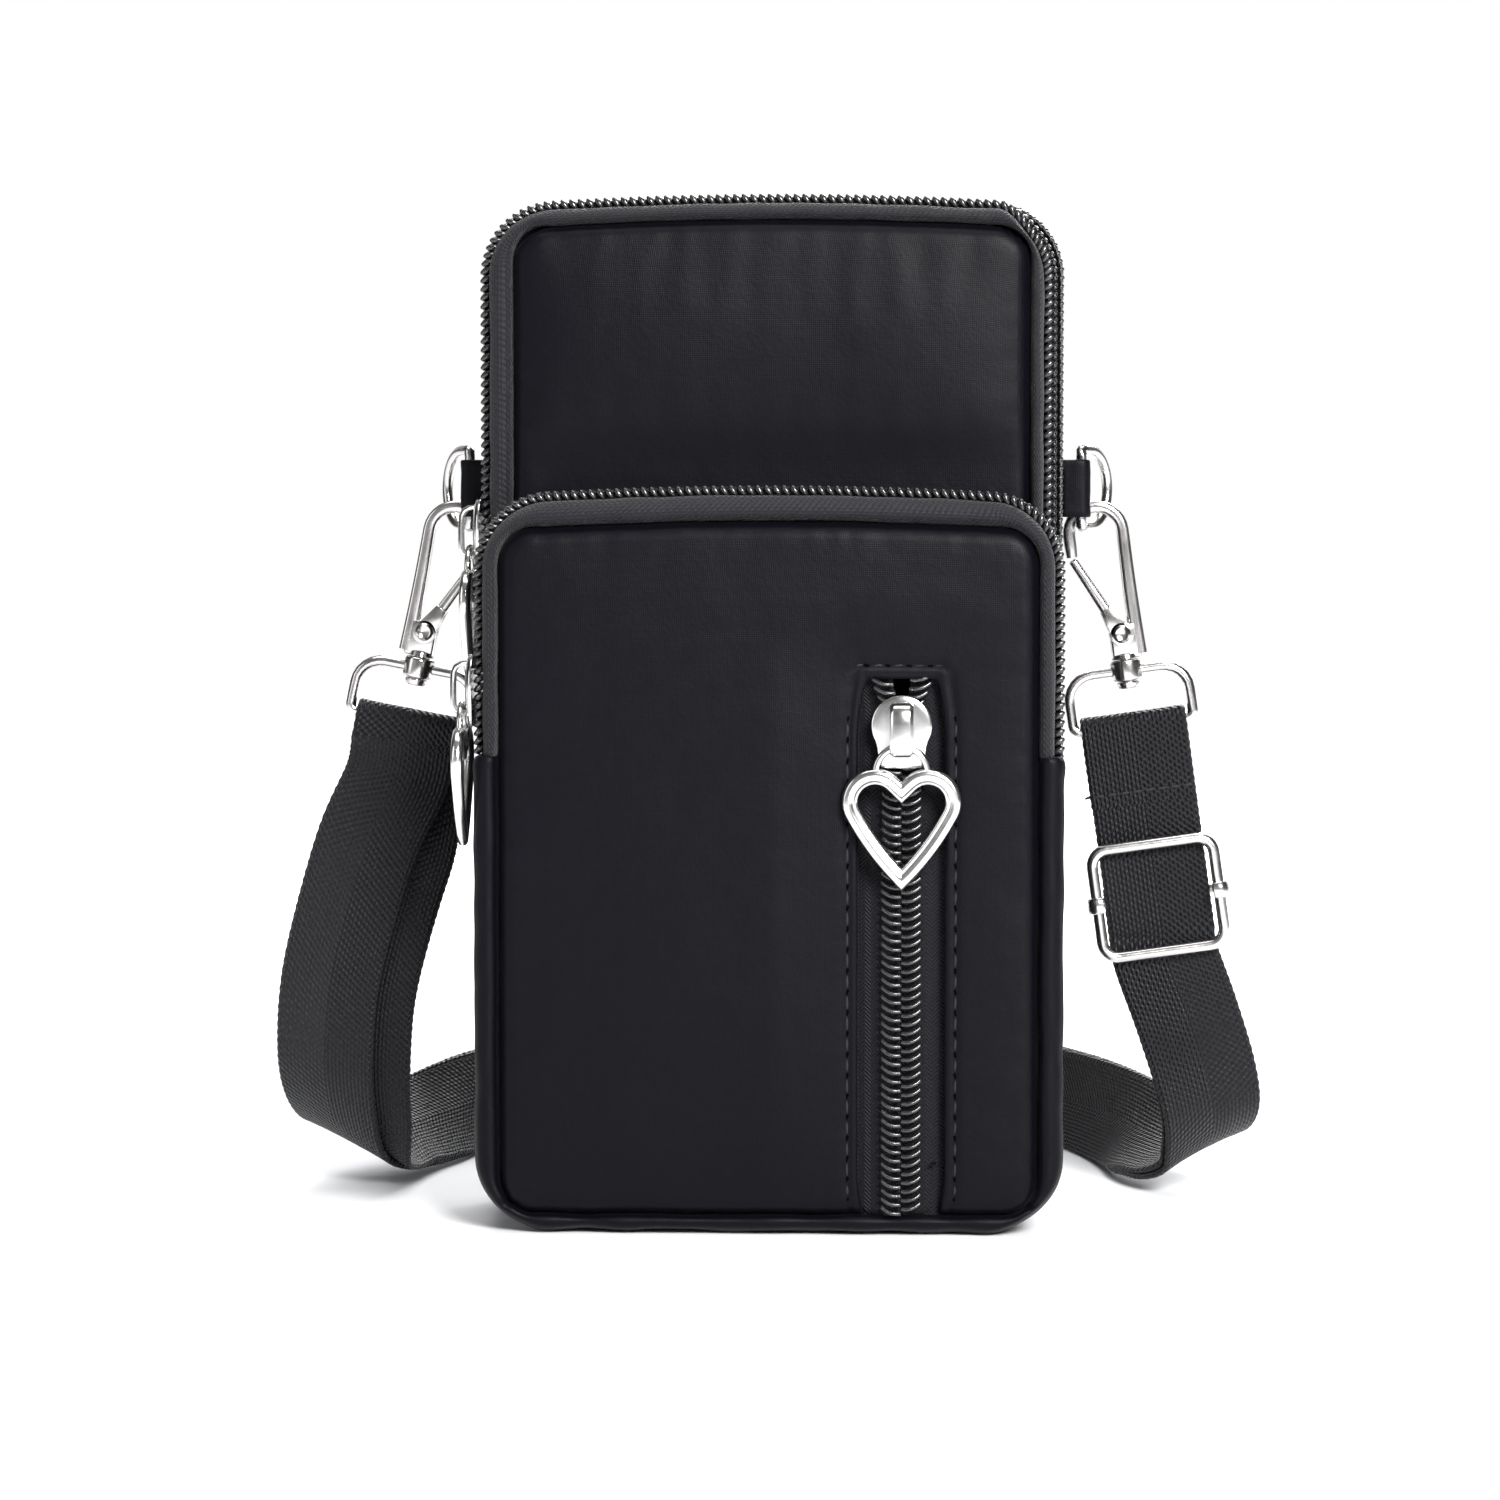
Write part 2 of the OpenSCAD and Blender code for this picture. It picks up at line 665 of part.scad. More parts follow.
module strap_ring(side) {
  color("#d0d0d4") hang(side) difference() {
    union() {
      translate([0, 0, ring_top_z - ring_h/2 + ring_wire/2])
        wire_frame(ring_w, ring_h, ring_r_up, ring_r_low, ring_wire);
      translate([0, 0, eye_foot]) cylinder(h = eye_len, r = eye_r);
    }
    translate([0, 0, eye_foot - overrun])
      cylinder(h = eye_len + 2*overrun, r = stem_r + pin_clear);
  }
}
module strap_ring_left() { strap_ring(-1); }
module strap_ring_right() { strap_ring(1); }

// where the strap hangs: middle of each loop's bar, with the webbing round it
fold_r = ring_wire/2 + soft_clear;
function bar_at(side) = let (a = lean(side), r = rivet_at(side))
  r + [side*(-ring_bar_z*sin(a)), 0, ring_bar_z*cos(a)];

// the strap's route in shares: how far out from the loop towards the bow, how far
// back from the hooks to the strap's rear, and how high from the floor to the loop;
// then the direction of the webbing's width
right_shares = [
  [0.62, 0.01, 0.31, 1, 0.1, 0.16], [0.82, 0.01, 0.18, 1, 0.2, 0.14],
  [0.92, 0.03, 0.07, 0.95, 0.35, 0.17], [0.86, 0.08, -0.01, 0.85, 0.5, 0.3],
  [0.60, 0.14, -0.036, 0.6, 0.65, 0.45], [0.34, 0.24, -0.03, 0.35, 0.75, 0.55],
  [0.07, 0.38, -0.012, 0.12, 0.65, 0.7], [-0.40, 0.57, 0.00, 0, 0.3, 0.95],
  [-1.10, 0.79, 0.00, 0, 0, 1]
];
left_shares = [
  [0.47, -0.02, 0.70, 1, 0.1, 0.19], [0.84, -0.03, 0.42, 1, 0.2, 0.14],
  [0.95, -0.01, 0.22, 1, 0.25, 0.1], [0.94, 0.04, 0.08, 0.95, 0.35, 0.16],
  [0.83, 0.11, -0.01, 0.85, 0.5, 0.3], [0.58, 0.20, -0.037, 0.6, 0.65, 0.45],
  [0.32, 0.31, -0.032, 0.35, 0.75, 0.55], [0.04, 0.42, -0.022, 0.15, 0.75, 0.62],
  [-0.42, 0.58, 0.00, 0, 0.35, 0.94], [-1.20, 0.78, 0.00, 0, 0, 1]
];
rear_shares = [
  [0.42, 0.935, 1], [0.15, 1, 1], [-0.15, 0.99, 1], [-0.42, 0.92, 1]
];
floor_z = strap_w/2 + strap_floor_gap;
function side_point(side, s) = let (b = bar_at(side))
  [b.x + side*s[0]*strap_bow, b.y + s[1]*(strap_back - b.y), floor_z + s[2]*(b.z - floor_z)];
function side_width(side, s) = [s[3], side*s[4], side*s[5]];

// one unit along the strap below a loop, seen from the front
function down(side) = [side*sin(lean(side)), 0, -cos(lean(side))];
function across(side) = [cos(lean(side)), 0, side*sin(lean(side))];

function last(v) = v[len(v) - 1];
function reversed(v) = [for (i = [len(v) - 1:-1:0]) v[i]];
strap_reach = pouch_w/2 + strap_bow;
fold_tail = 3;
end_lap = 6;
lap_y = -(fold_r + strap_t/2);
left_start = bar_at(-1) + [0, lap_y, 0] + down(-1)*(fold_tail + 3*soft_clear);
right_start = bar_at(1) + [0, lap_y, 0];
adjuster_end = adjuster_drop + adjuster_h/2;
end_foot = adjuster_drop + end_lap + soft_clear;

route = concat(
  [left_start, left_start + down(-1)*fold_len/2],
  [for (s = left_shares) side_point(-1, s) + [0, lap_y*s[2], 0]],
  [for (s = rear_shares) [-s[0]*strap_reach, s[1]*strap_back, floor_z]],
  [for (s = reversed(right_shares)) side_point(1, s) + [0, lap_y*s[2], 0]],
  [for (d = [adjuster_end, end_foot, adjuster_drop, fold_len]) right_start + down(1)*d]
);
widths = concat(
  [across(-1), across(-1)],
  [for (s = left_shares) side_width(-1, s)],
  [for (s = rear_shares) [0, 0, -1]],
  [for (s = reversed(right_shares)) -side_width(1, s)],
  [for (d = [1:4]) -across(1)]
);

// smooth curve through the points of a list, with steps between each two
steps = 4;
function between(p, i, t) = let (
    a = p[max(i - 1, 0)], b = p[i], c = p[i + 1], d = p[min(i + 2, len(p) - 1)]
  ) ((b*2) + (c - a)*t + (a*2 - b*5 + c*4 - d)*t*t + (b*3 - a - c*3 + d)*t*t*t)/2;
function smooth(p) = concat(
  [for (i = [0:len(p) - 2], k = [0:steps - 1]) between(p, i, k/steps)],
  [last(p)]
);
function unit(v) = v/norm(v);
function flat_to(v, n) = unit(v - n*(v*n));

curve = smooth(route);
curve_widths = smooth(widths);
last_i = len(curve) - 1;
function heading(i) = unit(curve[min(i + 1, last_i)] - curve[max(i - 1, 0)]);
function wide(i) = flat_to(curve_widths[i], heading(i));
function inward(i) = cross(wide(i), heading(i));

// webbing from ring a to ring b of the curve: off is 0 for the outer layer, 1 for the inner
module webbing(a, b, off) {
  corners = [[1, 1], [-1, 1], [-1, -1], [1, -1]];
  points = [for (i = [a:b], c = corners)
    curve[i] + wide(i)*(off*side_step(i) + c[0]*strap_w/2)
      + inward(i)*(off*draw_in(i) + c[1]*strap_t/2)];
  n = b - a;
  faces = concat(
    [[0, 1, 2], [0, 2, 3]],
    [for (i = [0:n - 1], k = [0:3]) let (p = 4*i + k, q = 4*i + (k + 1)%4)
      k < 2 ? [p, p + 4, q] : [p, p + 4, q + 4]],
    [for (i = [0:n - 1], k = [0:3]) let (p = 4*i + k, q = 4*i + (k + 1)%4)
      k < 2 ? [q, p + 4, q + 4] : [p, q + 4, q]],
    [[4*n, 4*n + 2, 4*n + 1], [4*n, 4*n + 3, 4*n + 2]]
  );
  polyhedron(points, faces);
}
module strap_outer_run() {
  color("#1c1c20") webbing(0, last_i, 0);
}
module strap_inner_run() {
  color("#121215") webbing(0, last_i - 2*steps, 1);
}
inner_off = strap_t + soft_clear;
ring_off = 2*fold_r + strap_t;
// the inner layer draws in from behind the loop's bar to behind the outer layer,
// and steps sideways where the strap hangs on the left
step_end = 8*steps;
function ease(t) = t*t*(3 - 2*t);
function draw_in(i) = ring_off + (inner_off - ring_off)*ease(min(i/(2*steps), 1));
function side_step(i) = layer_step*ease(min(i/(2*steps), 1))
  *ease(min(max((step_end - i)/(3*steps), 0), 1));

// webbing folded round a loop's bar; the fold ends level with the strap
module fold(side, len_front, len_back) {
  b = bar_at(side);
  translate(b) mirror([side > 0 ? 0 : 1, 0, 0]) rotate([0, -lean(side), 0])
    translate([-strap_w/2, 0, 0]) rotate([90, 0, 90]) linear_extrude(strap_w) {
      difference() {
        circle(fold_r + strap_t);
        circle(fold_r);
        translate([-fold_r - strap_t - overrun, -fold_r - strap_t - overrun])
          square([2*(fold_r + strap_t + overrun), fold_r + strap_t + overrun]);
      }
      translate([-fold_r - strap_t, -len_front]) square([strap_t, len_front]);
      translate([fold_r, -len_back]) square([strap_t, len_back]);
    }
}
module strap_fold_left() { color("#1c1c20") fold(-1, fold_tail, fold_tail); }
module strap_fold_right() { color("#1c1c20") fold(1, fold_len, fold_len); }

// adjuster: the frame lies in front of the webbing and the bar behind it
adjuster_w = strap_w + adjuster_spare;
frame_y = lap_y - strap_t/2 - soft_clear - adjuster_wire/2;
bar_r = adjuster_wire/2;
bar_y = lap_y + inner_off + strap_t/2 + soft_clear + bar_r;
crimp_r = 1.9;
crimp_w = 2.6;
module at_adjuster() {
  translate(bar_at(1) + down(1)*adjuster_drop) rotate([0, -lean(1), 0]) children();
}
module adjuster_frame() {
  color("#d0d0d4") at_adjuster() translate([0, frame_y, 0])
    wire_frame(adjuster_w, adjuster_h, adjuster_r, adjuster_r, adjuster_wire);
}
module adjuster_bar() {
  rail_x = adjuster_w/2 - adjuster_wire/2;
  color("#c4c4ca") at_adjuster() difference() {
    union() {
      translate([-rail_x, bar_y, 0]) rotate([0, 90, 0]) cylinder(h = 2*rail_x, r = bar_r);
      for (s = [-1, 1]) translate([s*rail_x, 0, 0]) {
        translate([0, frame_y, -crimp_w/2]) cylinder(h = crimp_w, r = crimp_r);
        translate([-bar_r, frame_y, -crimp_w/2])
          cube([2*bar_r, bar_y - frame_y + bar_r, crimp_w]);
      }
    }
    for (s = [-1, 1]) translate([s*rail_x, frame_y, -crimp_w])
      cylinder(h = 2*crimp_w, r = adjuster_wire/2 + pin_clear);
  }
}
// sewn end of the strap, turned round the bar from the front to the back
end_tail = 12;
module strap_end_fold() {
  r = bar_r + soft_clear;
  color("#121215") at_adjuster() translate([-strap_w/2, bar_y, 0]) rotate([90, 0, 90])
    linear_extrude(strap_w) {
      difference() {
        circle(r + strap_t);
        circle(r);
        translate([-r - strap_t - overrun, -r - strap_t - overrun])
          square([2*(r + strap_t + overrun), r + strap_t + overrun]);
      }
      translate([-r - strap_t, -end_lap]) square([strap_t, end_lap]);
      translate([r, -end_tail]) square([strap_t, end_tail]);
    }
}

back_panel();
back_foam();
back_lining();
main_gusset_upper();
main_gusset_lower();
main_zip_tape_rear();
main_zip_tape_front();
main_coil_rear();
main_coil_front();
main_front_panel();
main_front_lining();
pocket_gusset_upper();
pocket_gusset_lower();
pocket_zip_tape_rear();
pocket_zip_tape_front();
pocket_coil_rear();
pocket_coil_front();
pocket_front_panel();
pocket_front_lining();
zip_pocket_bag();
front_zip_tape_left();
front_zip_tape_right();
front_coil_left();
front_coil_right();
front_zip_stops();
main_slider();
main_pull();
pocket_slider();
pocket_pull();
front_slider();
front_pull();
tab_left();
tab_right();
dring_left();
dring_right();
hook_left();
hook_right();
gate_left();
gate_right();
gate_rivet_left();
gate_rivet_right();
gate_spring_left();
gate_spring_right();
strap_ring_left();
strap_ring_right();
strap_fold_left();
strap_fold_right();
strap_outer_run();
strap_inner_run();
strap_end_fold();
adjuster_frame();
adjuster_bar();
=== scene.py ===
from math import acos, copysign, cos, exp, hypot, pi, radians, sin, sqrt

import bmesh
import bpy
from mathutils import Matrix, Vector, noise


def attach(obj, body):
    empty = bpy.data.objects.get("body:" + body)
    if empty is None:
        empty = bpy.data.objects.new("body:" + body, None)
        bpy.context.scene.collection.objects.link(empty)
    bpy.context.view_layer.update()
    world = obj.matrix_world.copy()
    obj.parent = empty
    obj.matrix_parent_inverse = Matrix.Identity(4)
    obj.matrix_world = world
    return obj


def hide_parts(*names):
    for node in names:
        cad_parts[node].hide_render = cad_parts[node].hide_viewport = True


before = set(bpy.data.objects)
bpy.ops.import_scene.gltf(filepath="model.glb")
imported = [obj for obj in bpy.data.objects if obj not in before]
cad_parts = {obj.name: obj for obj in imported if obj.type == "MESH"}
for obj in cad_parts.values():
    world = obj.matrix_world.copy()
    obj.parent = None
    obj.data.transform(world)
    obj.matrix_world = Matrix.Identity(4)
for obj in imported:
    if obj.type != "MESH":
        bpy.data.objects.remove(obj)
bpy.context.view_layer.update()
MM = 0.001
rearward = Vector((0, 1, 0))

# The studio: the pouch stands on a pale floor under broad soft lamps. The camera
# looks a little down from the right of its middle, as the photograph does.
def placed(name, data):
    obj = bpy.data.objects.new(name, data)
    bpy.context.scene.collection.objects.link(obj)
    return obj


def meshed(name, bm):
    data = bpy.data.meshes.new(name)
    bm.to_mesh(data)
    bm.free()
    return data


eye = bpy.data.cameras.new("photo_camera")
eye.lens = 93.2
eye.sensor_width = 36.0
eye.clip_start = 0.01
camera = placed("photo_camera", eye)
camera.location = (0.025, -0.720, 0.125)
camera.rotation_euler = (radians(87.0), 0.0, radians(2.306))
bpy.context.scene.camera = camera
bpy.context.scene.view_settings.view_transform = "Standard"

for name, place, aim_z, size, watts in (
    ("key_softbox", (0.48, -1.00, 0.72), 0.10, (0.45, 0.45), 30.0),
    ("top_softbox", (0.0, 0.05, 1.10), 0.08, (0.9, 0.6), 6.0),
    ("left_softbox", (-1.05, -0.55, 0.50), 0.09, (0.4, 0.9), 2.0),
    ("rear_softbox", (0.2, 1.1, 0.8), 0.08, (0.9, 0.5), 18.0),
):
    lamp = bpy.data.lights.new(name, "AREA")
    lamp.shape = "RECTANGLE"
    lamp.size, lamp.size_y = size
    lamp.energy = watts
    holder = placed(name, lamp)
    holder.location = place
    holder.rotation_euler = (Vector((0, 0, aim_z)) - Vector(place)).to_track_quat("-Z", "Y").to_euler()


def fill(tree, made, inputs):
    """Sets a node's inputs; each value is a constant or a socket to link."""
    for label, value in inputs.items():
        if isinstance(value, bpy.types.NodeSocket):
            tree.links.new(value, made.inputs[label])
        else:
            made.inputs[label].default_value = value
    return made


def node(tree, kind, inputs):
    return fill(tree, tree.nodes.new(kind), inputs)


def step(tree, operation, *values):
    made = tree.nodes.new("ShaderNodeMath")
    made.operation = operation
    return fill(tree, made, dict(enumerate(values))).outputs[0]


def scaled(tree, value, times, plus):
    return step(tree, "MULTIPLY_ADD", value, times, plus)


def ramp(tree, value, low, high, first, last):
    """Goes from first to last while value goes from low to high."""
    limits = {"From Min": low, "From Max": high, "To Min": first, "To Max": last}
    return node(tree, "ShaderNodeMapRange", {"Value": value, **limits}).outputs[0]


def vector_step(tree, operation, vector, **inputs):
    made = tree.nodes.new("ShaderNodeVectorMath")
    made.operation = operation
    return fill(tree, made, {0: vector, **inputs}).outputs


def axes(tree, vector):
    return node(tree, "ShaderNodeSeparateXYZ", {0: vector}).outputs


def rays(tree):
    return tree.nodes.new("ShaderNodeLightPath").outputs


def bare_tree(owner):
    owner.use_nodes = True
    owner.node_tree.nodes.clear()
    return owner.node_tree


sky = bpy.data.worlds.new("studio")
bpy.context.scene.world = sky
tree = bare_tree(sky)
x, y, z = axes(tree, tree.nodes.new("ShaderNodeTexCoord").outputs["Generated"])
dimmed = ramp(tree, z, 0.20, 0.50, 1.0, 0.20)
dimmed = step(tree, "MULTIPLY", dimmed, ramp(tree, y, -0.97, -0.60, 0.20, 1.0))
dimmed = step(tree, "MULTIPLY", dimmed, ramp(tree, step(tree, "ABSOLUTE", x), 0.50, 0.80, 1.0, 0.08))
white = step(tree, "MAXIMUM", dimmed, rays(tree)["Is Camera Ray"])
seen = rays(tree)["Is Camera Ray"]  # 1 for camera, glossy and transmission rays
for kind in ("Is Glossy Ray", "Is Transmission Ray"):
    seen = step(tree, "MAXIMUM", seen, rays(tree)[kind])
room = node(tree, "ShaderNodeBackground", {"Color": (0.92, 0.95, 1.0, 1), "Strength": 0.26})
paper = node(tree, "ShaderNodeBackground", {"Color": (1, 1, 1, 1), "Strength": white})
mix = node(tree, "ShaderNodeMixShader", {"Fac": seen, 1: room.outputs[0], 2: paper.outputs[0]})
node(tree, "ShaderNodeOutputWorld", {"Surface": mix.outputs[0]})

disc = bmesh.new()
bmesh.ops.create_circle(disc, cap_ends=True, segments=96, radius=3.2)
floor = placed("studio_floor", meshed("studio_floor", disc))
paint = bpy.data.materials.new("studio_floor")
tree = bare_tree(paint)
far = vector_step(tree, "LENGTH", tree.nodes.new("ShaderNodeTexCoord").outputs["Object"])["Value"]
strength = step(tree, "MULTIPLY", ramp(tree, far, 0.20, 0.60, 0.0, 1.0), rays(tree)["Is Camera Ray"])
matt = node(tree, "ShaderNodeBsdfDiffuse", {"Color": (0.86, 0.86, 0.87, 1)})
glow = node(tree, "ShaderNodeEmission", {"Color": (1, 1, 1, 1), "Strength": strength})
both = node(tree, "ShaderNodeAddShader", {0: matt.outputs[0], 1: glow.outputs[0]})
node(tree, "ShaderNodeOutputMaterial", {"Surface": both.outputs[0]})
floor.data.materials.append(paint)


# Body cloth of the pouch: black satin nylon, a fine plain weave with a faint blue
# cast. It is cut for every panel, the side bands and the D-ring tabs.
def shared_effect(name, takes, gives):
    """A node group of vector and number inputs and number outputs."""
    group = bpy.data.node_groups.new(name, "ShaderNodeTree")
    group.interface.new_socket("Vector", in_out="INPUT", socket_type="NodeSocketVector")
    for label, value in takes.items():
        socket = group.interface.new_socket(label, in_out="INPUT", socket_type="NodeSocketFloat")
        socket.default_value = value
    for label in gives:
        group.interface.new_socket(label, in_out="OUTPUT", socket_type="NodeSocketFloat")
    return group, group.nodes.new("NodeGroupInput").outputs, group.nodes.new("NodeGroupOutput")


def grain(tree, vector, scale, detail=2.0, roughness=0.5, stretch=None):
    if stretch:
        vector = node(tree, "ShaderNodeMapping", {"Vector": vector, "Scale": stretch}).outputs[0]
    sizes = {"Scale": scale, "Detail": detail, "Roughness": roughness}
    return node(tree, "ShaderNodeTexNoise", {"Vector": vector, **sizes}).outputs["Fac"]


weave, start, end = shared_effect("plain_weave", {"Threads": 2400.0}, ("Height", "Shade"))
turns = step(weave, "MULTIPLY", start["Threads"], pi)
lines = vector_step(weave, "SCALE", start["Vector"], Scale=turns)[0]
x, y, z = axes(weave, vector_step(weave, "SINE", lines)[0])
checks = step(weave, "ADD", step(weave, "MULTIPLY", x, z),
              step(weave, "MULTIPLY", step(weave, "ADD", x, z), y))
slub = grain(weave, start["Vector"], 1100.0, 3.0, 0.65)
height = scaled(weave, slub, 1.1, step(weave, "MULTIPLY", checks, 0.12))
fill(weave, end, {"Height": height, "Shade": scaled(weave, slub, 0.5, 0.75)})

creases, start, end = shared_effect("soft_creases", {}, ("Height", "Tone"))
wide = grain(creases, start["Vector"], 38.0, 3.0, 0.45)
narrow = grain(creases, start["Vector"], 150.0, 2.0, 0.5)
fill(creases, end, {"Height": scaled(creases, narrow, 0.12, wide), "Tone": scaled(creases, wide, 0.5, 0.75)})


def use(tree, group, **inputs):
    made = tree.nodes.new("ShaderNodeGroup")
    made.node_tree = group
    return fill(tree, made, inputs).outputs


def tinted(tree, colour, amount, dark=0.3, light=1.7):
    """The colour times dark where the mask is 0, and times light where it is 1."""
    made = tree.nodes.new("ShaderNodeMix")
    made.data_type = "RGBA"
    for label, times in (("A", dark), ("B", light)):
        made.inputs[label].default_value = tuple(min(c*times, 1.0) for c in colour) + (1,)
    tree.links.new(amount, made.inputs["Factor"])
    return made.outputs["Result"]


def relief(tree, height, depth, under=None):
    made = node(tree, "ShaderNodeBump", {"Distance": depth, "Strength": 1.0, "Height": height})
    if under is not None:
        tree.links.new(under, made.inputs["Normal"])
    return made.outputs[0]


def finish(name, rough, sheen=0.0, sheen_rough=0.4, metal=0.0, gloss=0.5):
    material = bpy.data.materials.new(name)
    material.use_nodes = True
    tree = material.node_tree
    shader = tree.nodes["Principled BSDF"]
    shader.inputs["Roughness"].default_value = rough
    shader.inputs["Metallic"].default_value = metal
    shader.inputs["Specular IOR Level"].default_value = gloss
    shader.inputs["Sheen Weight"].default_value = sheen
    shader.inputs["Sheen Roughness"].default_value = sheen_rough
    return material, tree, shader.inputs, tree.nodes.new("ShaderNodeTexCoord").outputs


def dressed(tree, inputs, colour, normal, rough=None):
    tree.links.new(colour, inputs["Base Color"])
    tree.links.new(normal, inputs["Normal"])
    if rough is not None:
        tree.links.new(rough, inputs["Roughness"])


nylon, tree, shader, where = finish("black_nylon", 0.38, sheen=0.02, gloss=0.12)
threads = use(tree, weave, Vector=where["Object"], Threads=5200.0)
folds = use(tree, creases, Vector=where["Object"])
tone = step(tree, "MULTIPLY", step(tree, "MULTIPLY", threads["Shade"], folds["Tone"]), 0.5)
dressed(tree, shader, tinted(tree, (0.0014, 0.0012, 0.0030), tone),
        relief(tree, threads["Height"], 0.00005, relief(tree, folds["Height"], 0.0007)),
        scaled(tree, threads["Shade"], 0.10, 0.35))


# Sewing the cloth: a band or panel is laid out as a grid in millimetres and keeps
# its true lengths as UVs in metres, so that weaves follow the cloth.
def lay_grid(bm, columns, rows, at, lengths):
    made = bmesh.ops.create_grid(bm, x_segments=columns, y_segments=rows, size=0.5)["verts"]
    low = Vector((min(v.co.x for v in made), min(v.co.y for v in made)))
    span = Vector((max(v.co.x for v in made), max(v.co.y for v in made))) - low
    spots = {v: (round((v.co.x - low.x)/span.x*columns), round((v.co.y - low.y)/span.y*rows)) for v in made}
    layer = bm.loops.layers.uv.verify()
    for face in {f for v in made for f in v.link_faces}:
        for corner in face.loops:
            corner[layer].uv = lengths(*spots[corner.vert])
    for v, (i, j) in spots.items():
        v.co = at(i, j)
    return spots


def running(points, closed=False):
    total, out = 0.0, [0.0]
    for a, b in zip(points, points[1:] + (points[:1] if closed else [])):
        total += (Vector(b) - Vector(a)).length
        out.append(total)
    return out


def sweep(bm, stations, section, ring=False, start=0.0, spot=None):
    """Carries a closed section of (a, b) along stations of (place, across, out)."""
    n = len(stations) if ring else len(stations) - 1
    m = len(section)
    along = running([s[0] for s in stations], ring)
    around = running(section, True)

    def at(i, j):
        place, across, out = stations[i % len(stations)]
        a, b = section[j % m]
        return spot(i % len(stations), a, b) if spot else place + across*a + out*b

    spots = lay_grid(bm, n, m, at, lambda i, j: ((start + along[i])*MM, around[j]*MM))
    bmesh.ops.remove_doubles(bm, verts=list(spots), dist=0.0001)
    made = [v for v in spots if v.is_valid]
    if not ring:
        rims = [e for v in made for e in v.link_edges if e.is_boundary]
        bmesh.ops.holes_fill(bm, edges=list(set(rims)), sides=0)
    return made


def stretches(lengths, distances):
    """For each growing distance, the stretch it falls on and how far along that."""
    k = 0
    for s in distances:
        while k < len(lengths) - 2 and lengths[k + 1] < s:
            k += 1
        yield k, (s - lengths[k])/(lengths[k + 1] - lengths[k])


def headings(points, ring=False):
    """Each point of a run with the direction in which the run passes it."""
    last = len(points) - 1
    for k, p in enumerate(points):
        if ring:
            before, after = points[k - 1], points[0 if k == last else k + 1]
        else:
            before, after = points[max(k - 1, 0)], points[min(k + 1, last)]
        yield p, (after - before).normalized()


def circle(radius, count):
    return [(radius*cos(2*pi*k/count), radius*sin(2*pi*k/count)) for k in range(count)]


def eased(t):
    t = min(max(t, 0.0), 1.0)
    return t*t*(3 - 2*t)


pouch_w, pouch_h, pouch_r, pocket_top = 108.0, 190.0, 14.0, 136.0
split_z = 87.0  # height at which both zips end


def settled(place, h):
    """The top of a pouch of height h sinks a little from its middle to its corners."""
    sunk = 1.1*eased((place.z - h + 44)/30)*min(abs(place.x)/40, 1.0)**2
    return place - Vector((0, 0, sunk))


def outline(w, h, foot, step_len, part="all", inset=(0.0, 0.0, 0.0), bend=pouch_r):
    """Places and inward directions round a pouch's outline, in mm. A run that stands
    inside it, at the sides, top and foot, has as many points as the outer one."""
    side, top, low = w/2 - inset[0], h - inset[1], foot + inset[2]
    r = pouch_r
    cx, ct, cl = side - bend, top - bend, low + bend
    out = []

    def straight(a, b, inward, length):
        count = max(1, round(length/step_len))
        for k in range(count):
            out.append((Vector((a[0], 0, a[1])).lerp(Vector((b[0], 0, b[1])), k/count), Vector(inward)))

    def corner(x, z, a0):
        count = max(6, round(r*pi/2/step_len))
        for k in range(count):
            a = radians(a0 - 90*k/count)
            inward = Vector((-cos(a), 0, -sin(a)))
            out.append((Vector((x, 0, z)) - inward*bend, inward))

    if part in ("upper", "all"):
        straight((-side, split_z), (-side, ct), (1, 0, 0), h - r - split_z)
        corner(-cx, ct, 180)
        straight((-cx, top), (cx, top), (0, 0, -1), w - 2*r)
        corner(cx, ct, 90)
        straight((side, ct), (side, split_z), (-1, 0, 0), h - r - split_z)
    if part == "upper":
        out.append((Vector((side, 0, split_z)), Vector((-1, 0, 0))))
    if part in ("lower", "all"):
        straight((side, split_z), (side, cl), (-1, 0, 0), split_z - foot - r)
        corner(cx, cl, 0)
        straight((cx, low), (-cx, low), (0, 0, 1), w - 2*r)
        corner(-cx, cl, -90)
        straight((-side, cl), (-side, split_z), (1, 0, 0), split_z - foot - r)
    if part == "lower":
        out.append((Vector((-side, 0, split_z)), Vector((1, 0, 0))))
    return [(settled(place, h), inward) for place, inward in out]


def crumple(verts, size, reach, push=None, seed=0.0):
    """Moves each point a little along its normal, by smooth noise of that reach in mm."""
    for v in verts:
        v.normal_update()
    for v in verts:
        amount = size*push(v.co) if push else size
        v.co += v.normal*amount*noise.noise(v.co/reach + Vector((seed, seed*1.7, 3.1)))


def piece(bm, name, material, replaced=(), body="pouch", sharp=None, place=None):
    """Ends a mesh in mm as one named piece; edges that turn more than sharp stay crisp."""
    if place is not None:
        bmesh.ops.transform(bm, matrix=place, verts=bm.verts[:])
    bmesh.ops.recalc_face_normals(bm, faces=bm.faces[:])
    bmesh.ops.scale(bm, vec=(MM, MM, MM), verts=bm.verts[:])
    for face in bm.faces:
        face.smooth = True
    if sharp is not None:
        for edge in bm.edges:
            if len(edge.link_faces) == 2 and edge.calc_face_angle(0.0) > radians(sharp):
                edge.smooth = False
    obj = placed(name, meshed(name, bm))
    obj.data.materials.append(material)
    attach(obj, body)
    if replaced:
        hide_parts(*replaced)
    return obj


def panel_rows(size, pitch):
    """Columns and rows of a rounded panel, closer together round its corners."""
    w, h, r = size

    def ticks(full):
        bends = [r*(1 - cos(radians(a))) for a in range(0, 90, 15)]
        count = round((full - 2*r)/pitch)
        middle = [r + (full - 2*r)*k/count for k in range(count + 1)]
        return [t - full/2 for t in bends + middle + [full - b for b in reversed(bends)]]
    return ticks(w), ticks(h)


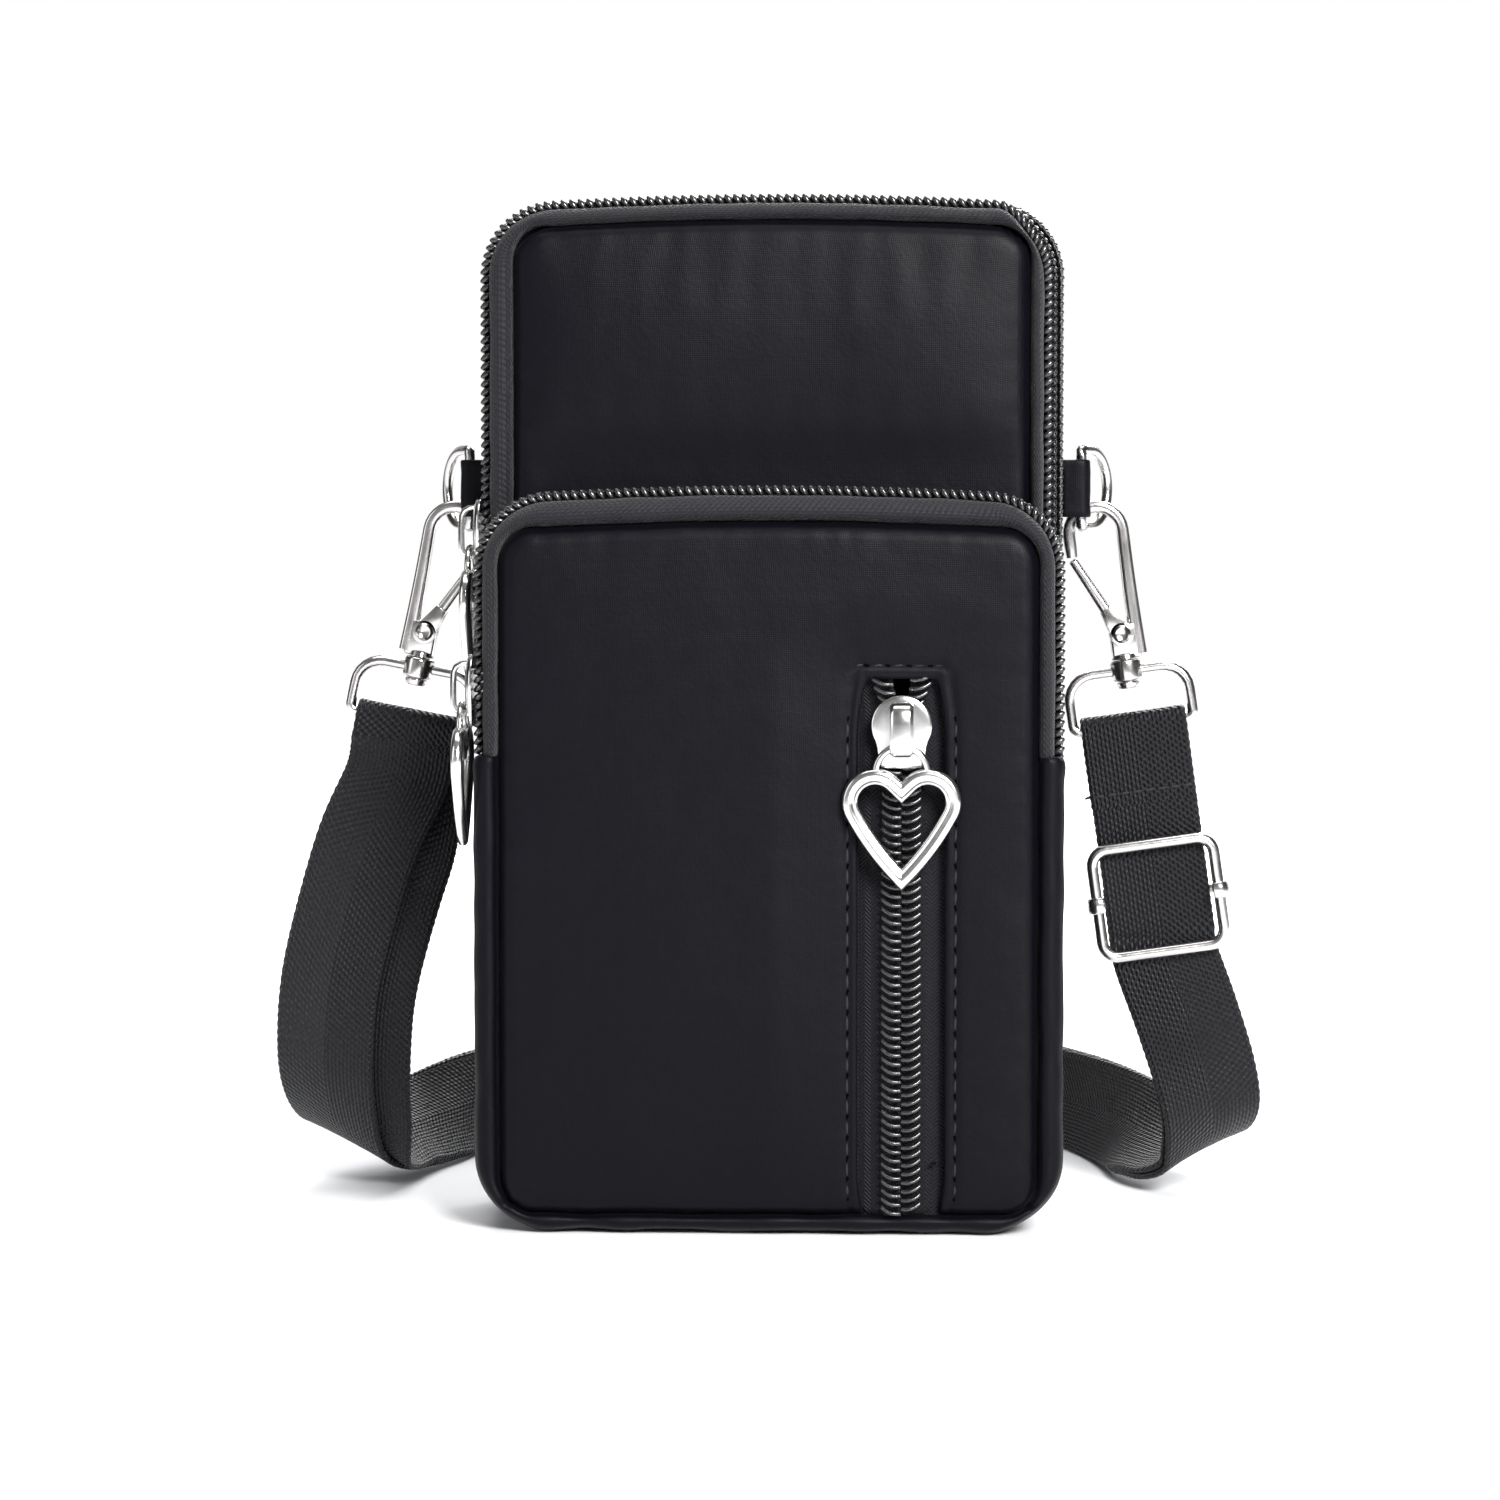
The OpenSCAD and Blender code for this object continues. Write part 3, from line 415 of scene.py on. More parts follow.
def rim_distance(x, z, size):
    """How far inside a rounded panel of that width, height and corner radius."""
    w, h, r = size
    dx, dz = abs(x) - (w/2 - r), abs(z) - (h/2 - r)
    return r - (hypot(max(dx, 0), max(dz, 0)) + min(max(dx, dz), 0.0))


def rounded_x(x, z, size):
    """Squeezes the outer columns so that the panel's corners are round."""
    w, h, r = size
    keep = w/2 - r - 4.0
    over = abs(z) - (h/2 - r)
    if over <= 0 or abs(x) <= keep:
        return x
    half = w/2 - r + sqrt(max(r*r - over*over, 0.0))
    return copysign(keep + (abs(x) - keep)*(half - keep)/(w/2 - keep), x)


def lay_panel(bm, size, mid, face, pitch):
    """Lays a whole panel whose middle is at height mid; face(x, z) is its depth."""
    columns, rows = panel_rows(size, pitch)

    def at(i, j):
        x, z = columns[i], rows[j]
        return settled(Vector((rounded_x(x, z, size), face(x, z), z + mid)), pouch_h)

    lay_grid(bm, len(columns) - 1, len(rows) - 1, at, lambda i, j: (columns[i]*MM, rows[j]*MM))


def sewn_panel(bm, name, thickness, outward, replaced):
    """Thickens the sheet in bm away from the side that shows, -1 front or 1 back."""
    sheet = bm.faces[:]
    bmesh.ops.recalc_face_normals(bm, faces=sheet)
    if sheet[0].normal.y*outward < 0:
        bmesh.ops.reverse_faces(bm, faces=sheet)
    bmesh.ops.solidify(bm, geom=sheet, thickness=thickness)
    return piece(bm, name, nylon, replaced)


# Back panel: one padded piece of nylon over foam with a thin lining, piped all
# round where it is sewn to the side band.
def swelled(size, seed):
    """Cloth simulation of a padded panel that is held along its seam.

    A slack sheet, ten times life size, swells under the foam's pressure. What
    comes back is its height over (x, z), 0 at the seam and 1 at the highest.
    """
    w, h = size[:2]
    cell = 4.0
    across, up = round(w/cell), round(h/cell)
    spots = [(w*i/across - w/2, h*j/up - h/2) for j in range(up + 1) for i in range(across + 1)]
    mesh = bpy.data.meshes.new("swelling_sheet")
    mesh.from_pydata(
        [(x/100, 0.0, z/100) for x, z in spots], [],
        [(k, k + 1, k + across + 2, k + across + 1)
         for j in range(up) for k in range(j*(across + 1), j*(across + 1) + across)])
    sheet = placed("swelling_sheet", mesh)
    sewn = sheet.vertex_groups.new(name="sewn")
    tight = sheet.vertex_groups.new(name="tight")
    for k, (x, z) in enumerate(spots):
        if rim_distance(x, z, size) < 0.6*cell:
            sewn.add([k], 1.0, "REPLACE")
        tight.add([k], 0.5 + 0.5*noise.noise(Vector((x/22, seed, z/22))), "REPLACE")
    cloth = sheet.modifiers.new("Cloth", "CLOTH")
    cloth.collision_settings.use_collision = False
    cloth.settings.quality = 6
    cloth.settings.mass = 0.05
    cloth.settings.bending_stiffness = 2.0
    cloth.settings.vertex_group_mass = "sewn"
    cloth.settings.vertex_group_shrink = "tight"
    cloth.settings.shrink_min = -0.012
    cloth.settings.use_pressure = True
    cloth.settings.uniform_pressure_force = 4.0
    cloth.settings.effector_weights.gravity = 0.0
    for frame_no in range(1, 21):
        bpy.context.scene.frame_set(frame_no)
    settled_sheet = sheet.evaluated_get(bpy.context.evaluated_depsgraph_get())
    heights = [abs(v.co.y) for v in settled_sheet.data.vertices]
    bpy.context.scene.frame_set(1)
    bpy.data.objects.remove(sheet)
    bpy.data.meshes.remove(mesh)
    peak = max(heights)

    def level(i, j):
        if i < 0 or i > across:
            return -level(-i if i < 0 else 2*across - i, j)
        if j < 0 or j > up:
            return -level(i, -j if j < 0 else 2*up - j)
        return heights[j*(across + 1) + i]

    def spline(t):
        return ((1 - t)**3/6, (3*t**3 - 6*t*t + 4)/6, (-3*t**3 + 3*t*t + 3*t + 1)/6, t**3/6)

    def height(x, z):
        u = min(max((x/w + 0.5)*across, 0.0), across - 1e-6)
        v = min(max((z/h + 0.5)*up, 0.0), up - 1e-6)
        i, j = int(u), int(v)
        return sum(a*b*level(i - 1 + m, j - 1 + n)
                   for m, a in enumerate(spline(u - i)) for n, b in enumerate(spline(v - j)))/peak

    return height


back_size, back_mid = (105.2, 187.2, 12.6), 95.0
back_swell = swelled(back_size, 2.0)


def back_face(x, z):
    d = rim_distance(x, z, back_size)
    puff = 1 - (1 - min(d/9.0, 1.0))**2
    return 19.9 + 1.25*puff + 0.35*back_swell(x, z)


def near_rim(c):
    """1 at the panel's rim, 0 from 16 mm inside it."""
    return max(0.0, 1 - rim_distance(c.x, c.z - back_mid, back_size)/16)


bm = bmesh.new()
lay_panel(bm, back_size, back_mid, back_face, 2.0)
crumple(bm.verts[:], 0.5, 11.0, near_rim, 4.0)
back = sewn_panel(bm, "back_cushion", 2.4, 1, ("back_panel", "back_foam", "back_lining"))

bm = bmesh.new()
ring = [(p + inward*1.25 + Vector((0, 20.0, 0)), inward, rearward)
        for p, inward in outline(pouch_w, pouch_h, 0, 2.0)]
sweep(bm, ring, circle(1.2, 10), ring=True)
crumple(bm.verts[:], 0.12, 5.0)
piece(bm, "back_piping", nylon)


# Woven zip tape, with a fine slanting rib, and the thread of all the seams.
ribs, start, end = shared_effect("slanting_rib", {"Rib": 0.0011, "Slant": 1.0}, ("Height", "Shade"))
along, over = axes(ribs, start["Vector"])[:2]
slanted = scaled(ribs, over, start["Slant"], along)
turns = step(ribs, "MULTIPLY", step(ribs, "DIVIDE", slanted, start["Rib"]), 2*pi)
cross = step(ribs, "MULTIPLY", step(ribs, "DIVIDE", over, start["Rib"]), 4*pi)
rough = grain(ribs, start["Vector"], 1500.0, 2.0, 0.6)
height = scaled(ribs, step(ribs, "SINE", cross), 0.22, step(ribs, "MULTIPLY", rough, 0.7))
height = scaled(ribs, step(ribs, "SINE", turns), 0.35, height)
fill(ribs, end, {"Height": height, "Shade": scaled(ribs, height, 0.22, 0.45)})


def woven_tape(name, colour, rib=0.0011, slant=1.0, depth=0.00016):
    material, tree, shader, where = finish(name, 0.62, sheen=0.10, sheen_rough=0.45, gloss=0.22)
    threads = use(tree, ribs, Vector=where["UV"], Rib=rib, Slant=slant)
    folds = use(tree, creases, Vector=where["Object"])
    dressed(tree, shader, tinted(tree, colour, threads["Shade"]),
            relief(tree, threads["Height"], depth, relief(tree, folds["Height"], 0.0006)))
    return material


tape_cloth = woven_tape("zip_tape_weave", (0.0085, 0.0083, 0.0110))
thread = woven_tape("sewing_thread", (0.016, 0.016, 0.020), rib=0.0004, slant=3.0, depth=0.00005)


def bead(name, around, rings):
    """A small round form, long in X, that is stamped many times."""
    bm = bmesh.new()
    bmesh.ops.create_uvsphere(bm, u_segments=around, v_segments=rings, radius=1.0,
                              matrix=Matrix.Rotation(pi/2, 4, "Y"))
    return meshed(name, bm)


def stamp(bm, form, centre, along, across, up, size):
    """Sets a copy of a form at centre, turned to three axes and stretched."""
    turn = Matrix((along, across, up)).transposed().to_4x4()
    turn.translation = centre
    copy = form.copy()
    copy.transform(turn @ Matrix.Diagonal((*size, 1)))
    bm.from_mesh(copy)
    bpy.data.meshes.remove(copy)


stitch_form = bead("stitch_form", 6, 5)
coil_form = bead("coil_form", 8, 6)


def stitch_row(bm, places, length, width, height):
    """Short threads at (place, direction, outward) places, half sunk in the cloth."""
    for place, along, out in places:
        along, out = along.normalized(), out.normalized()
        side = out.cross(along).normalized()
        stamp(bm, stitch_form, place, along, side, out, (length/2, width/2, height/2))


# The two zipped sides. Each has a plain band from its back seam to the zip, the
# zip's two coils on their tapes, and the front tape rolled over a cord up to the
# front seam. Below the zip's ends, a plain band goes round the bottom instead.
coil_nylon, tree, shader, where = finish("coil_nylon", 0.26, gloss=1.0)
specks = grain(tree, where["Object"], 700.0, 2.0, 0.6)
dressed(tree, shader, tinted(tree, (0.0080, 0.0080, 0.0090), specks), relief(tree, specks, 0.00006),
        scaled(tree, specks, 0.22, 0.16))


def coil_rows(name, path, zip_y, replaced, stand_in):
    """Two rows of coil loops: a slanted head outside, and the bend at each side."""
    bm = bmesh.new()
    lengths = running([p for p, inward in path])
    pitch = 1.6
    for k, t in stretches(lengths, [(n + 0.5)*pitch for n in range(int(lengths[-1]/pitch))]):
        place = path[k][0].lerp(path[k + 1][0], t)
        inward = path[k][1].lerp(path[k + 1][1], t).normalized()
        along = (path[k + 1][0] - path[k][0]).normalized()
        for side in (-1, 1):
            shift = 0.5*pitch if side > 0 else 0.0
            deep = stand_in(place) if side < 0 else 0.0
            head = place + along*shift + inward*(0.60 + deep*0.6) + Vector((0, zip_y + side*1.3, 0))
            bend = place + along*(shift + 0.35) + inward*(1.02 + deep) + Vector((0, zip_y + side*2.3, 0))
            for centre, lie, face, size in (
                (head, Vector((0, side, 0)) + along*0.45, inward, (1.5, 0.58, 0.58)),
                (bend, inward - along*0.60*side, rearward, (1.30, 0.64, 0.66)),
            ):
                lie = lie.normalized()
                across = lie.cross(face).normalized()
                stamp(bm, coil_form, centre, lie, across, across.cross(lie), size)
    return piece(bm, name, coil_nylon, replaced)


def zipped_side(tag, w, h, foot, back_y, zip_y, front_y, seam, seam_r, lean_in):
    """One zip's pieces; seam is how far the front seam stands inside the outline."""
    upper, lower = (outline(w, h, foot, 0.95, part) for part in ("upper", "lower"))
    upper_seam, lower_seam = (outline(w, h, foot, 0.95, part, seam, seam_r) for part in ("upper", "lower"))
    stations = [(p, inward, rearward) for p, inward in upper]
    tape_y = zip_y + 5.3
    reach = 5.7

    def stand_in(place):
        """On the right, the front of the zip leans in and shows both rows."""
        return lean_in*eased((place.x - w/2 + 12)/9)

    def sewn_in(run, seams, lip, gathers, seed):
        """Past its lip a section is stretched to end in the seam."""
        lengths = running([p for p, inward in run])

        def spot(i, a, b):
            place, inward = run[i]
            deep = stand_in(place)
            if a <= lip:
                return place + inward*(a + deep) + rearward*b
            share = (a - lip)/(reach - lip)
            edge = place + inward*(lip + deep)
            s = lengths[i]
            pull = exp(-((a - 5.0)/0.9)**2)
            ripple = gathers*pull*noise.noise(Vector((s/1.1 + 0.8*a, seed, b/4)))
            return edge.lerp(seams[i][0], share) + rearward*(b + ripple)
        return spot

    # plain band behind the zip
    bm = bmesh.new()
    section = [(0.9, back_y), (0.15, back_y - 0.8)]
    section += [(0.10 + 0.22*sin(pi*t/6), back_y - 0.8 + (tape_y - back_y + 0.8)*t/6)
                for t in range(1, 6)]
    section += [(0.12, tape_y + 0.1), (0.32, tape_y - 0.35), (0.75, tape_y - 0.25), (1.25, tape_y + 0.6),
                (1.35, back_y - 1.2), (1.3, back_y)]
    sweep(bm, stations, section)
    crumple(bm.verts[:], 0.30, 8.0, None, 1.0 + zip_y)
    piece(bm, tag + "_side_band", nylon, (tag + "_gusset_upper",))

    # rear tape, which runs under both coils
    bm = bmesh.new()
    section = [(0.62, tape_y + 0.8), (0.6, tape_y - 1.0), (0.75, zip_y + 2.9), (1.5, zip_y + 2.2),
               (2.1, zip_y), (2.5, zip_y - 2.4), (3.2, zip_y - 2.4), (2.6, zip_y + 2.2), (1.4, tape_y + 0.8)]
    sweep(bm, stations, section)
    piece(bm, tag + "_rear_tape", tape_cloth, (tag + "_zip_tape_rear",))
    coil_rows(tag + "_coil", upper, zip_y, (tag + "_coil_rear", tag + "_coil_front"), stand_in)

    # front tape, rolled from the coil to the front seam
    bm = bmesh.new()
    f = front_y
    section = [(a, f + b) for a, b in (
        (2.15, 4.6), (1.90, 3.9), (1.80, 3.0), (1.95, 2.1), (2.30, 1.25), (2.85, 0.60), (3.5, 0.20),
        (4.1, 0.10), (4.65, 0.35), (5.05, 0.90), (5.3, 1.7), (5.45, 2.7), (5.7, 3.7), (5.0, 4.0),
        (4.0, 3.5), (3.3, 3.5), (2.9, 3.9), (2.8, 4.6))]
    sweep(bm, stations, section, spot=sewn_in(upper, upper_seam, 1.8, 0.55, 3.0 + zip_y))
    crumple(bm.verts[:], 0.22, 7.0, None, 2.0 + zip_y)
    piece(bm, tag + "_rolled_tape", tape_cloth, (tag + "_zip_tape_front",))

    # plain band below the zip's ends, folded in at both ends over the tape; its
    # front edge has a short mitred tuck at each bottom corner
    bm = bmesh.new()
    depth = back_y - f
    section = [(0.9, back_y), (0.15, back_y - 0.8)]
    section += [(0.02 + 0.16*sin(pi*t/10), back_y - 0.8 - (depth - 3.6)*t/10)
                for t in range(1, 11)]
    section += [(a, f + b) for a, b in (
        (0.18, 2.2), (0.50, 1.40), (1.15, 0.70), (2.1, 0.25), (3.1, 0.08), (4.0, 0.18), (4.65, 0.55),
        (5.05, 1.10), (5.3, 1.8), (5.45, 2.7), (5.7, 3.7), (4.9, 3.9), (4.0, 3.0), (2.8, 2.8),
        (1.9, 3.4), (1.5, 4.4), (1.5, depth - 1.2), (1.4, depth))]
    hems = {0: 0.30, 1: -0.10, 2: -0.24, 3: -0.20, 4: -0.10, 5: -0.04}
    tuck = [k for k, (p, inward) in enumerate(lower) if abs(abs(inward.x) - abs(inward.z)) < 0.08]
    band = [(p + inward*hems.get(min(k, len(lower) - 1 - k), 0.0), inward)
            for k, (p, inward) in enumerate(lower)]
    plain = sewn_in(band, lower_seam, 0.5, 0.18, 6.0 + zip_y)

    def tucked(i, a, b):
        spot = plain(i, a, b)
        if b >= f + 2.7:
            return spot
        near = min(abs(i - k) for k in tuck)*0.95
        return spot + rearward*(1.1*exp(-(near/0.8)**2)*eased((a - 1.6)/2.4))
    sweep(bm, [(p, inward, rearward) for p, inward in band], section, spot=tucked)

    def bottom_pull(c):
        return 0.5 + 0.9*max(0.0, 1 - (c.z - foot)/14) + (0.3 if c.y < f + 3 else 0.0)
    crumple(bm.verts[:], 0.30, 7.5, bottom_pull, 5.0 + zip_y)
    for v in bm.verts:
        v.co.z = max(v.co.z, 0.02)
    piece(bm, tag + "_lower_band", nylon, (tag + "_gusset_lower",))


zipped_side("main", pouch_w, pouch_h, 0.0, 20.2, 3.5, -3.5, (6.35, 4.9, 5.7), 5.8, 2.0)
zipped_side("pocket", 107.2, pocket_top, 0.4, -3.4, -14.0, -21.0, (4.7, 6.5, 3.4), 6.8, 0.0)


# Main front panel: nylon over foam, sewn in a groove to the rolled tape. Only its
# upper part shows above the pocket, softly crowned and puckered along its seam.
def sewn_face(x, z, size, edge_y, rise, crown, seed):
    d = rim_distance(x, z, size)
    lip = 1 - (1 - min(max(d, 0.0)/2.8, 1.0))**3.0
    broad = noise.noise(Vector((x/38 + seed, 0.3, z/52)))
    fine = noise.noise(Vector((x/9 + seed, 4.0, z/9)))
    dome = crown*(0.75 + 0.45*broad)*min(max(d, 0.0)/24.0, 1.0)**0.8
    return edge_y - rise*lip - dome - 0.16*fine*exp(-d/10)*lip


def pucker(x, z, size, seed):
    """Small gathers that run in from the seam."""
    d = rim_distance(x, z, size)
    top = abs(z) > size[1]/2 - size[2]
    s = x if top else z
    shift = noise.noise(Vector((s/14 + seed, seed, 0)))
    strength = 0.5 + 0.5*noise.noise(Vector((s/22 + seed, 7.0, seed)))
    ripple = 0.17*strength*sin(2*pi*(s/5.5 + 0.9*shift))
    return ripple*exp(-max(d - 0.8, 0)/3.0)*min(d/1.2, 1.0)


main_size, main_mid = (95.8, 179.8, 5.8), 95.4
shown_h = 49.0  # height of what shows above the pocket
main_swell = swelled((95.8, shown_h, 5.8), 5.0)


def main_face(x, z):
    y = sewn_face(x, z, main_size, 0.0, 3.5, 0.0, 3.0)
    above = z + main_mid - pocket_top - 1
    shown = eased(above/12)
    return y - 2.6*shown*main_swell(x, above - shown_h/2) - shown*pucker(x, z, main_size, 1.0)


bm = bmesh.new()
lay_panel(bm, main_size, main_mid, main_face, 1.4)
panel = sewn_panel(bm, "main_front_cushion", 1.1, -1, ("main_front_panel", "main_front_lining"))


# Pocket front panel: the same cloth, with a long slot for the front zip. The
# slot's edges are turned in and held by a line of stitches all round.
pocket_size, pocket_mid = (98.2, 126.3, 6.8), 66.6
slot_x, slot_half, slot_top, slot_round = 24.2, 7.8, 101.7, 2.2
stitch_pitch, stitch_line = 3.8, 2.0


def slot_distance(x, z):
    """Distance outside the slot's edge, in mm."""
    dx = abs(x - slot_x) - slot_half
    dz = z - slot_top
    if dx <= 0 and dz <= 0:
        return -1.0
    return hypot(max(dx, 0.0), max(dz, 0.0))


pocket_swell = swelled(pocket_size, 8.0)


def pocket_face(x, z):
    """Height of the panel's face at (x, z); z is from the base."""
    low = z - pocket_mid
    edge = slot_distance(x, z)
    calm = min(max((edge - 1.0)/14.0, 0.0), 1.0)
    y = sewn_face(x, low, pocket_size, -17.6, 3.4, 0.3*calm, 8.0)
    y -= 2.1*(0.35 + 0.65*calm)*pocket_swell(x, low)
    y -= pucker(x, low, pocket_size, 2.0)*(0.35 + 0.65*calm)
    if 0 <= edge < 6:
        seam_dip = 0.40*exp(-((edge - 1.9)/0.5)**2)
        along = z if z < slot_top else x
        gather = 0.10*sin(2*pi*along/stitch_pitch)*exp(-((edge - 2.4)/1.4)**2)
        turned = 0.55*max(0.0, 1 - edge/0.8)**2
        y += seam_dip + gather + turned
    return y


def merged_ticks(ticks, extra):
    return sorted([t for t in ticks if all(abs(t - e) > 0.55 for e in extra)] + extra)


bm = bmesh.new()
columns, rows = panel_rows(pocket_size, 1.4)
beside = [0.0, 0.35, 0.8, 1.3, 1.9, 2.5, 3.2, 4.2]
columns = merged_ticks(columns, [slot_x + side*(slot_half + b) for side in (-1, 1) for b in beside])
rows = merged_ticks(rows, [slot_top - pocket_mid + b for b in beside])


def pocket_place(i, j):
    x, z = rounded_x(columns[i], rows[j], pocket_size), rows[j] + pocket_mid
    y = pocket_face(x, z)
    # the slot's two upper corners are round
    dx, dz = abs(x - slot_x) - (slot_half - slot_round), z - (slot_top - slot_round)
    if dx > 0 and dz > 0 and z <= slot_top + 0.01 and dx <= slot_round + 0.01:
        far = hypot(dx, dz)
        if far > slot_round*0.99:
            x = slot_x + copysign(slot_half - slot_round + dx*slot_round/far, x - slot_x)
            z = slot_top - slot_round + dz*slot_round/far
    # and its sides are drawn together at both ends
    off = abs(x - slot_x) - slot_half
    if off < 6:
        near_top = 1 - (slot_top - z)/11 if z < slot_top else 1 - (z - slot_top)/6
        drawn = 2.2*max(0.0, 1 - z/12)**2 + 1.5*max(0.0, near_top)**1.5
        x -= copysign(drawn*(1 - off/6 if off > 0 else 1 + off/slot_half), x - slot_x)
    return settled(Vector((x, y, z)), pocket_top)


spots = lay_grid(bm, len(columns) - 1, len(rows) - 1, pocket_place, lambda i, j: (columns[i]*MM, rows[j]*MM))
inside = []
for face in bm.faces:
    x = sum(columns[spots[v][0]] for v in face.verts)/4
    z = sum(rows[spots[v][1]] for v in face.verts)/4 + pocket_mid
    if abs(x - slot_x) < slot_half and z < slot_top:
        inside.append(face)
bmesh.ops.delete(bm, geom=inside, context="FACES")
panel = sewn_panel(bm, "pocket_front_cushion", 0.9, -1,
                   ("pocket_front_panel", "pocket_front_lining", "zip_pocket_bag"))

places = []


def sew(x, z, along):
    places.append((Vector((x, pocket_face(x, z) - 0.02, z)), Vector(along), Vector((0, -1, 0))))


z = 8.5
while z < slot_top + stitch_line - 1.5:
    for side in (-1, 1):
        sew(slot_x + side*(slot_half + stitch_line), z, (0.05*side, 0, 1))
    z += stitch_pitch
x = slot_x - slot_half - stitch_line + 1.6
while x < slot_x + slot_half + stitch_line:
    sew(x, slot_top + stitch_line, (1, 0, 0.04))
    x += stitch_pitch
bm = bmesh.new()
stitch_row(bm, places, 2.7, 0.55, 0.42)
piece(bm, "slot_stitches", thread)

# Painted shade: a near-black, matt, flattened bead at each end of every stitch stands for the shade that
# falls in its needle hole.
bm = bmesh.new()
for place, along, out in places:
    for end in (-1, 1):
        made = bmesh.ops.create_uvsphere(bm, u_segments=8, v_segments=5, radius=0.36)["verts"]
        bmesh.ops.scale(bm, vec=(1.0, 0.6, 1.0), verts=made)
        bmesh.ops.translate(bm, vec=place + along.normalized()*1.7*end + out*0.12, verts=made)
shade, tree, shader, where = finish("painted_hole_shade", 0.9, gloss=0.02)
fuzz = grain(tree, where["Object"], 2600.0)
dressed(tree, shader, tinted(tree, (0.0012, 0.0012, 0.0016), fuzz), relief(tree, fuzz, 0.00005))
piece(bm, "slot_painted_hole_shade", shade)

# Front zip: herringbone tapes under the slot and a large coil, closed below the
# slider. Above it, the two rows part and curve away from each other.
herring, tree, shader, where = finish("front_tape_herringbone", 0.62, sheen=0.05, gloss=0.16)
along, over = axes(tree, where["UV"])[:2]
fold = step(tree, "PINGPONG", along, 0.0011)
bars = step(tree, "SINE", step(tree, "MULTIPLY", step(tree, "ADD", over, fold), 2*pi/0.00075))
height = scaled(tree, bars, 0.5, grain(tree, where["Object"], 1600.0))
shade = scaled(tree, height, 0.3, 0.3)
dressed(tree, shader, tinted(tree, (0.0080, 0.0078, 0.0105), shade), relief(tree, height, 0.00014))


tape_low, tape_long = 3.6, 100.8
row_low, row_top, loop_pitch = 4.6, 101.2, 1.6
tape_y, coil_y = -19.45, -20.1


def parted(z):
    """How far each row stands aside at that height, in mm."""
    return 1.5*eased((z - 94.0)/7.0)


for side, tag in ((-1, "left"), (1, "right")):
    bm = bmesh.new()
    heights = [tape_low + tape_long*k/60 for k in range(61)]
    across = [0.15, 1.3, 2.6, 3.9, 4.6, 5.6, 6.8, 8.2, 10.0]

    def tape_place(i, j):
        x = across[i] + parted(heights[j])*max(0.0, 1 - across[i]/9)
        y = tape_y + 1.3*(across[i]/9)**1.6 + 0.14*noise.noise(Vector((x/5, side, heights[j]/8)))
        return Vector((slot_x + side*x, y, heights[j]))

    lay_grid(bm, len(across) - 1, 60, tape_place, lambda i, j: (across[i]*MM, heights[j]*MM))
    bmesh.ops.solidify(bm, geom=bm.faces[:], thickness=0.35)
    piece(bm, "front_tape_" + tag, herring, ("front_zip_tape_" + tag,))

    bm = bmesh.new()
    z = row_low + side*loop_pitch/4
    while z < row_top:
        base = parted(z)
        loop = []
        for u in (t/9 for t in range(10)):
            loop.append(Vector((slot_x + side*(base + 0.1 + (3.55 + 0.5*base/1.5)*u),
                                coil_y - 0.9*sin(pi*(0.25 + 0.65*u)),
                                z + 1.25*u**2.6 - 0.10*sin(pi*u))))
        frames = []
        for p, ahead in headings(loop):
            up = ahead.cross(rearward).normalized()
            fat = 0.40 if frames else 0.54
            frames.append((p, up*fat, ahead.cross(up)*fat))
        sweep(bm, frames, circle(1.0, 7))
        z += loop_pitch
    piece(bm, "front_coil_row_" + tag, coil_nylon,
          ("front_coil_" + tag, "front_zip_stops") if side > 0 else ("front_coil_left",))

# Bright plated castings: the sliders and their heart pulls. The plate has faint
# rubbing marks, where it is a little duller, and its tone varies in soft patches.
rubbed, start, end = shared_effect("rubbed_plate", {"Wear": 0.1}, ("Roughness", "Height", "Shade"))
marks = grain(rubbed, start["Vector"], 420.0, 4.0, 0.6, stretch=(1.0, 1.0, 0.25))
cloud = grain(rubbed, start["Vector"], 160.0, 2.0)
worn = step(rubbed, "MULTIPLY", marks, cloud)
fill(rubbed, end, {"Roughness": scaled(rubbed, worn, start["Wear"], 0.13),
                   "Height": scaled(rubbed, marks, 0.3, cloud), "Shade": scaled(rubbed, cloud, 0.14, 0.50)})


def plated(name, colour, wear):
    material, tree, shader, where = finish(name, 0.12, metal=1.0)
    surface = use(tree, rubbed, Vector=where["Object"], Wear=wear)
    dressed(tree, shader, tinted(tree, colour, surface["Shade"], 0.72, 1.22),
            relief(tree, surface["Height"], 0.00003), surface["Roughness"])
    return material


bright = plated("bright_plate", (0.80, 0.79, 0.78), 0.25)

plate_face, pull_y, pivot_z = -1.3, -2.4, -2.74


def arc(x, z, r, degrees, y=0.0):
    return [Vector((x + r*cos(radians(a)), y, z + r*sin(radians(a)))) for a in degrees]


def rounded_bar(bm, points, section, normal):
    """A bar swept along a flat run of points, keeping its section upright to the run."""
    sweep(bm, [(p, ahead.cross(normal).normalized(), normal) for p, ahead in headings(points)], section)


def edges_at(verts, least=-1.0):
    """The edges at these points, of those that turn more than least, in radians."""
    return [e for e in {e for v in verts for e in v.link_edges}
            if least < 0 or (len(e.link_faces) == 2 and e.calc_face_angle(0) > least)]


def bevelled(bm, edges, offset, segments):
    bmesh.ops.bevel(bm, geom=edges, offset=offset, offset_type="OFFSET", affect="EDGES",
                    segments=segments, profile=0.5, material=-1)


def box(bm, size, at):
    verts = bmesh.ops.create_cube(bm, size=1.0)["verts"]
    bmesh.ops.scale(bm, vec=size, verts=verts)
    bmesh.ops.translate(bm, vec=at, verts=verts)
    return verts


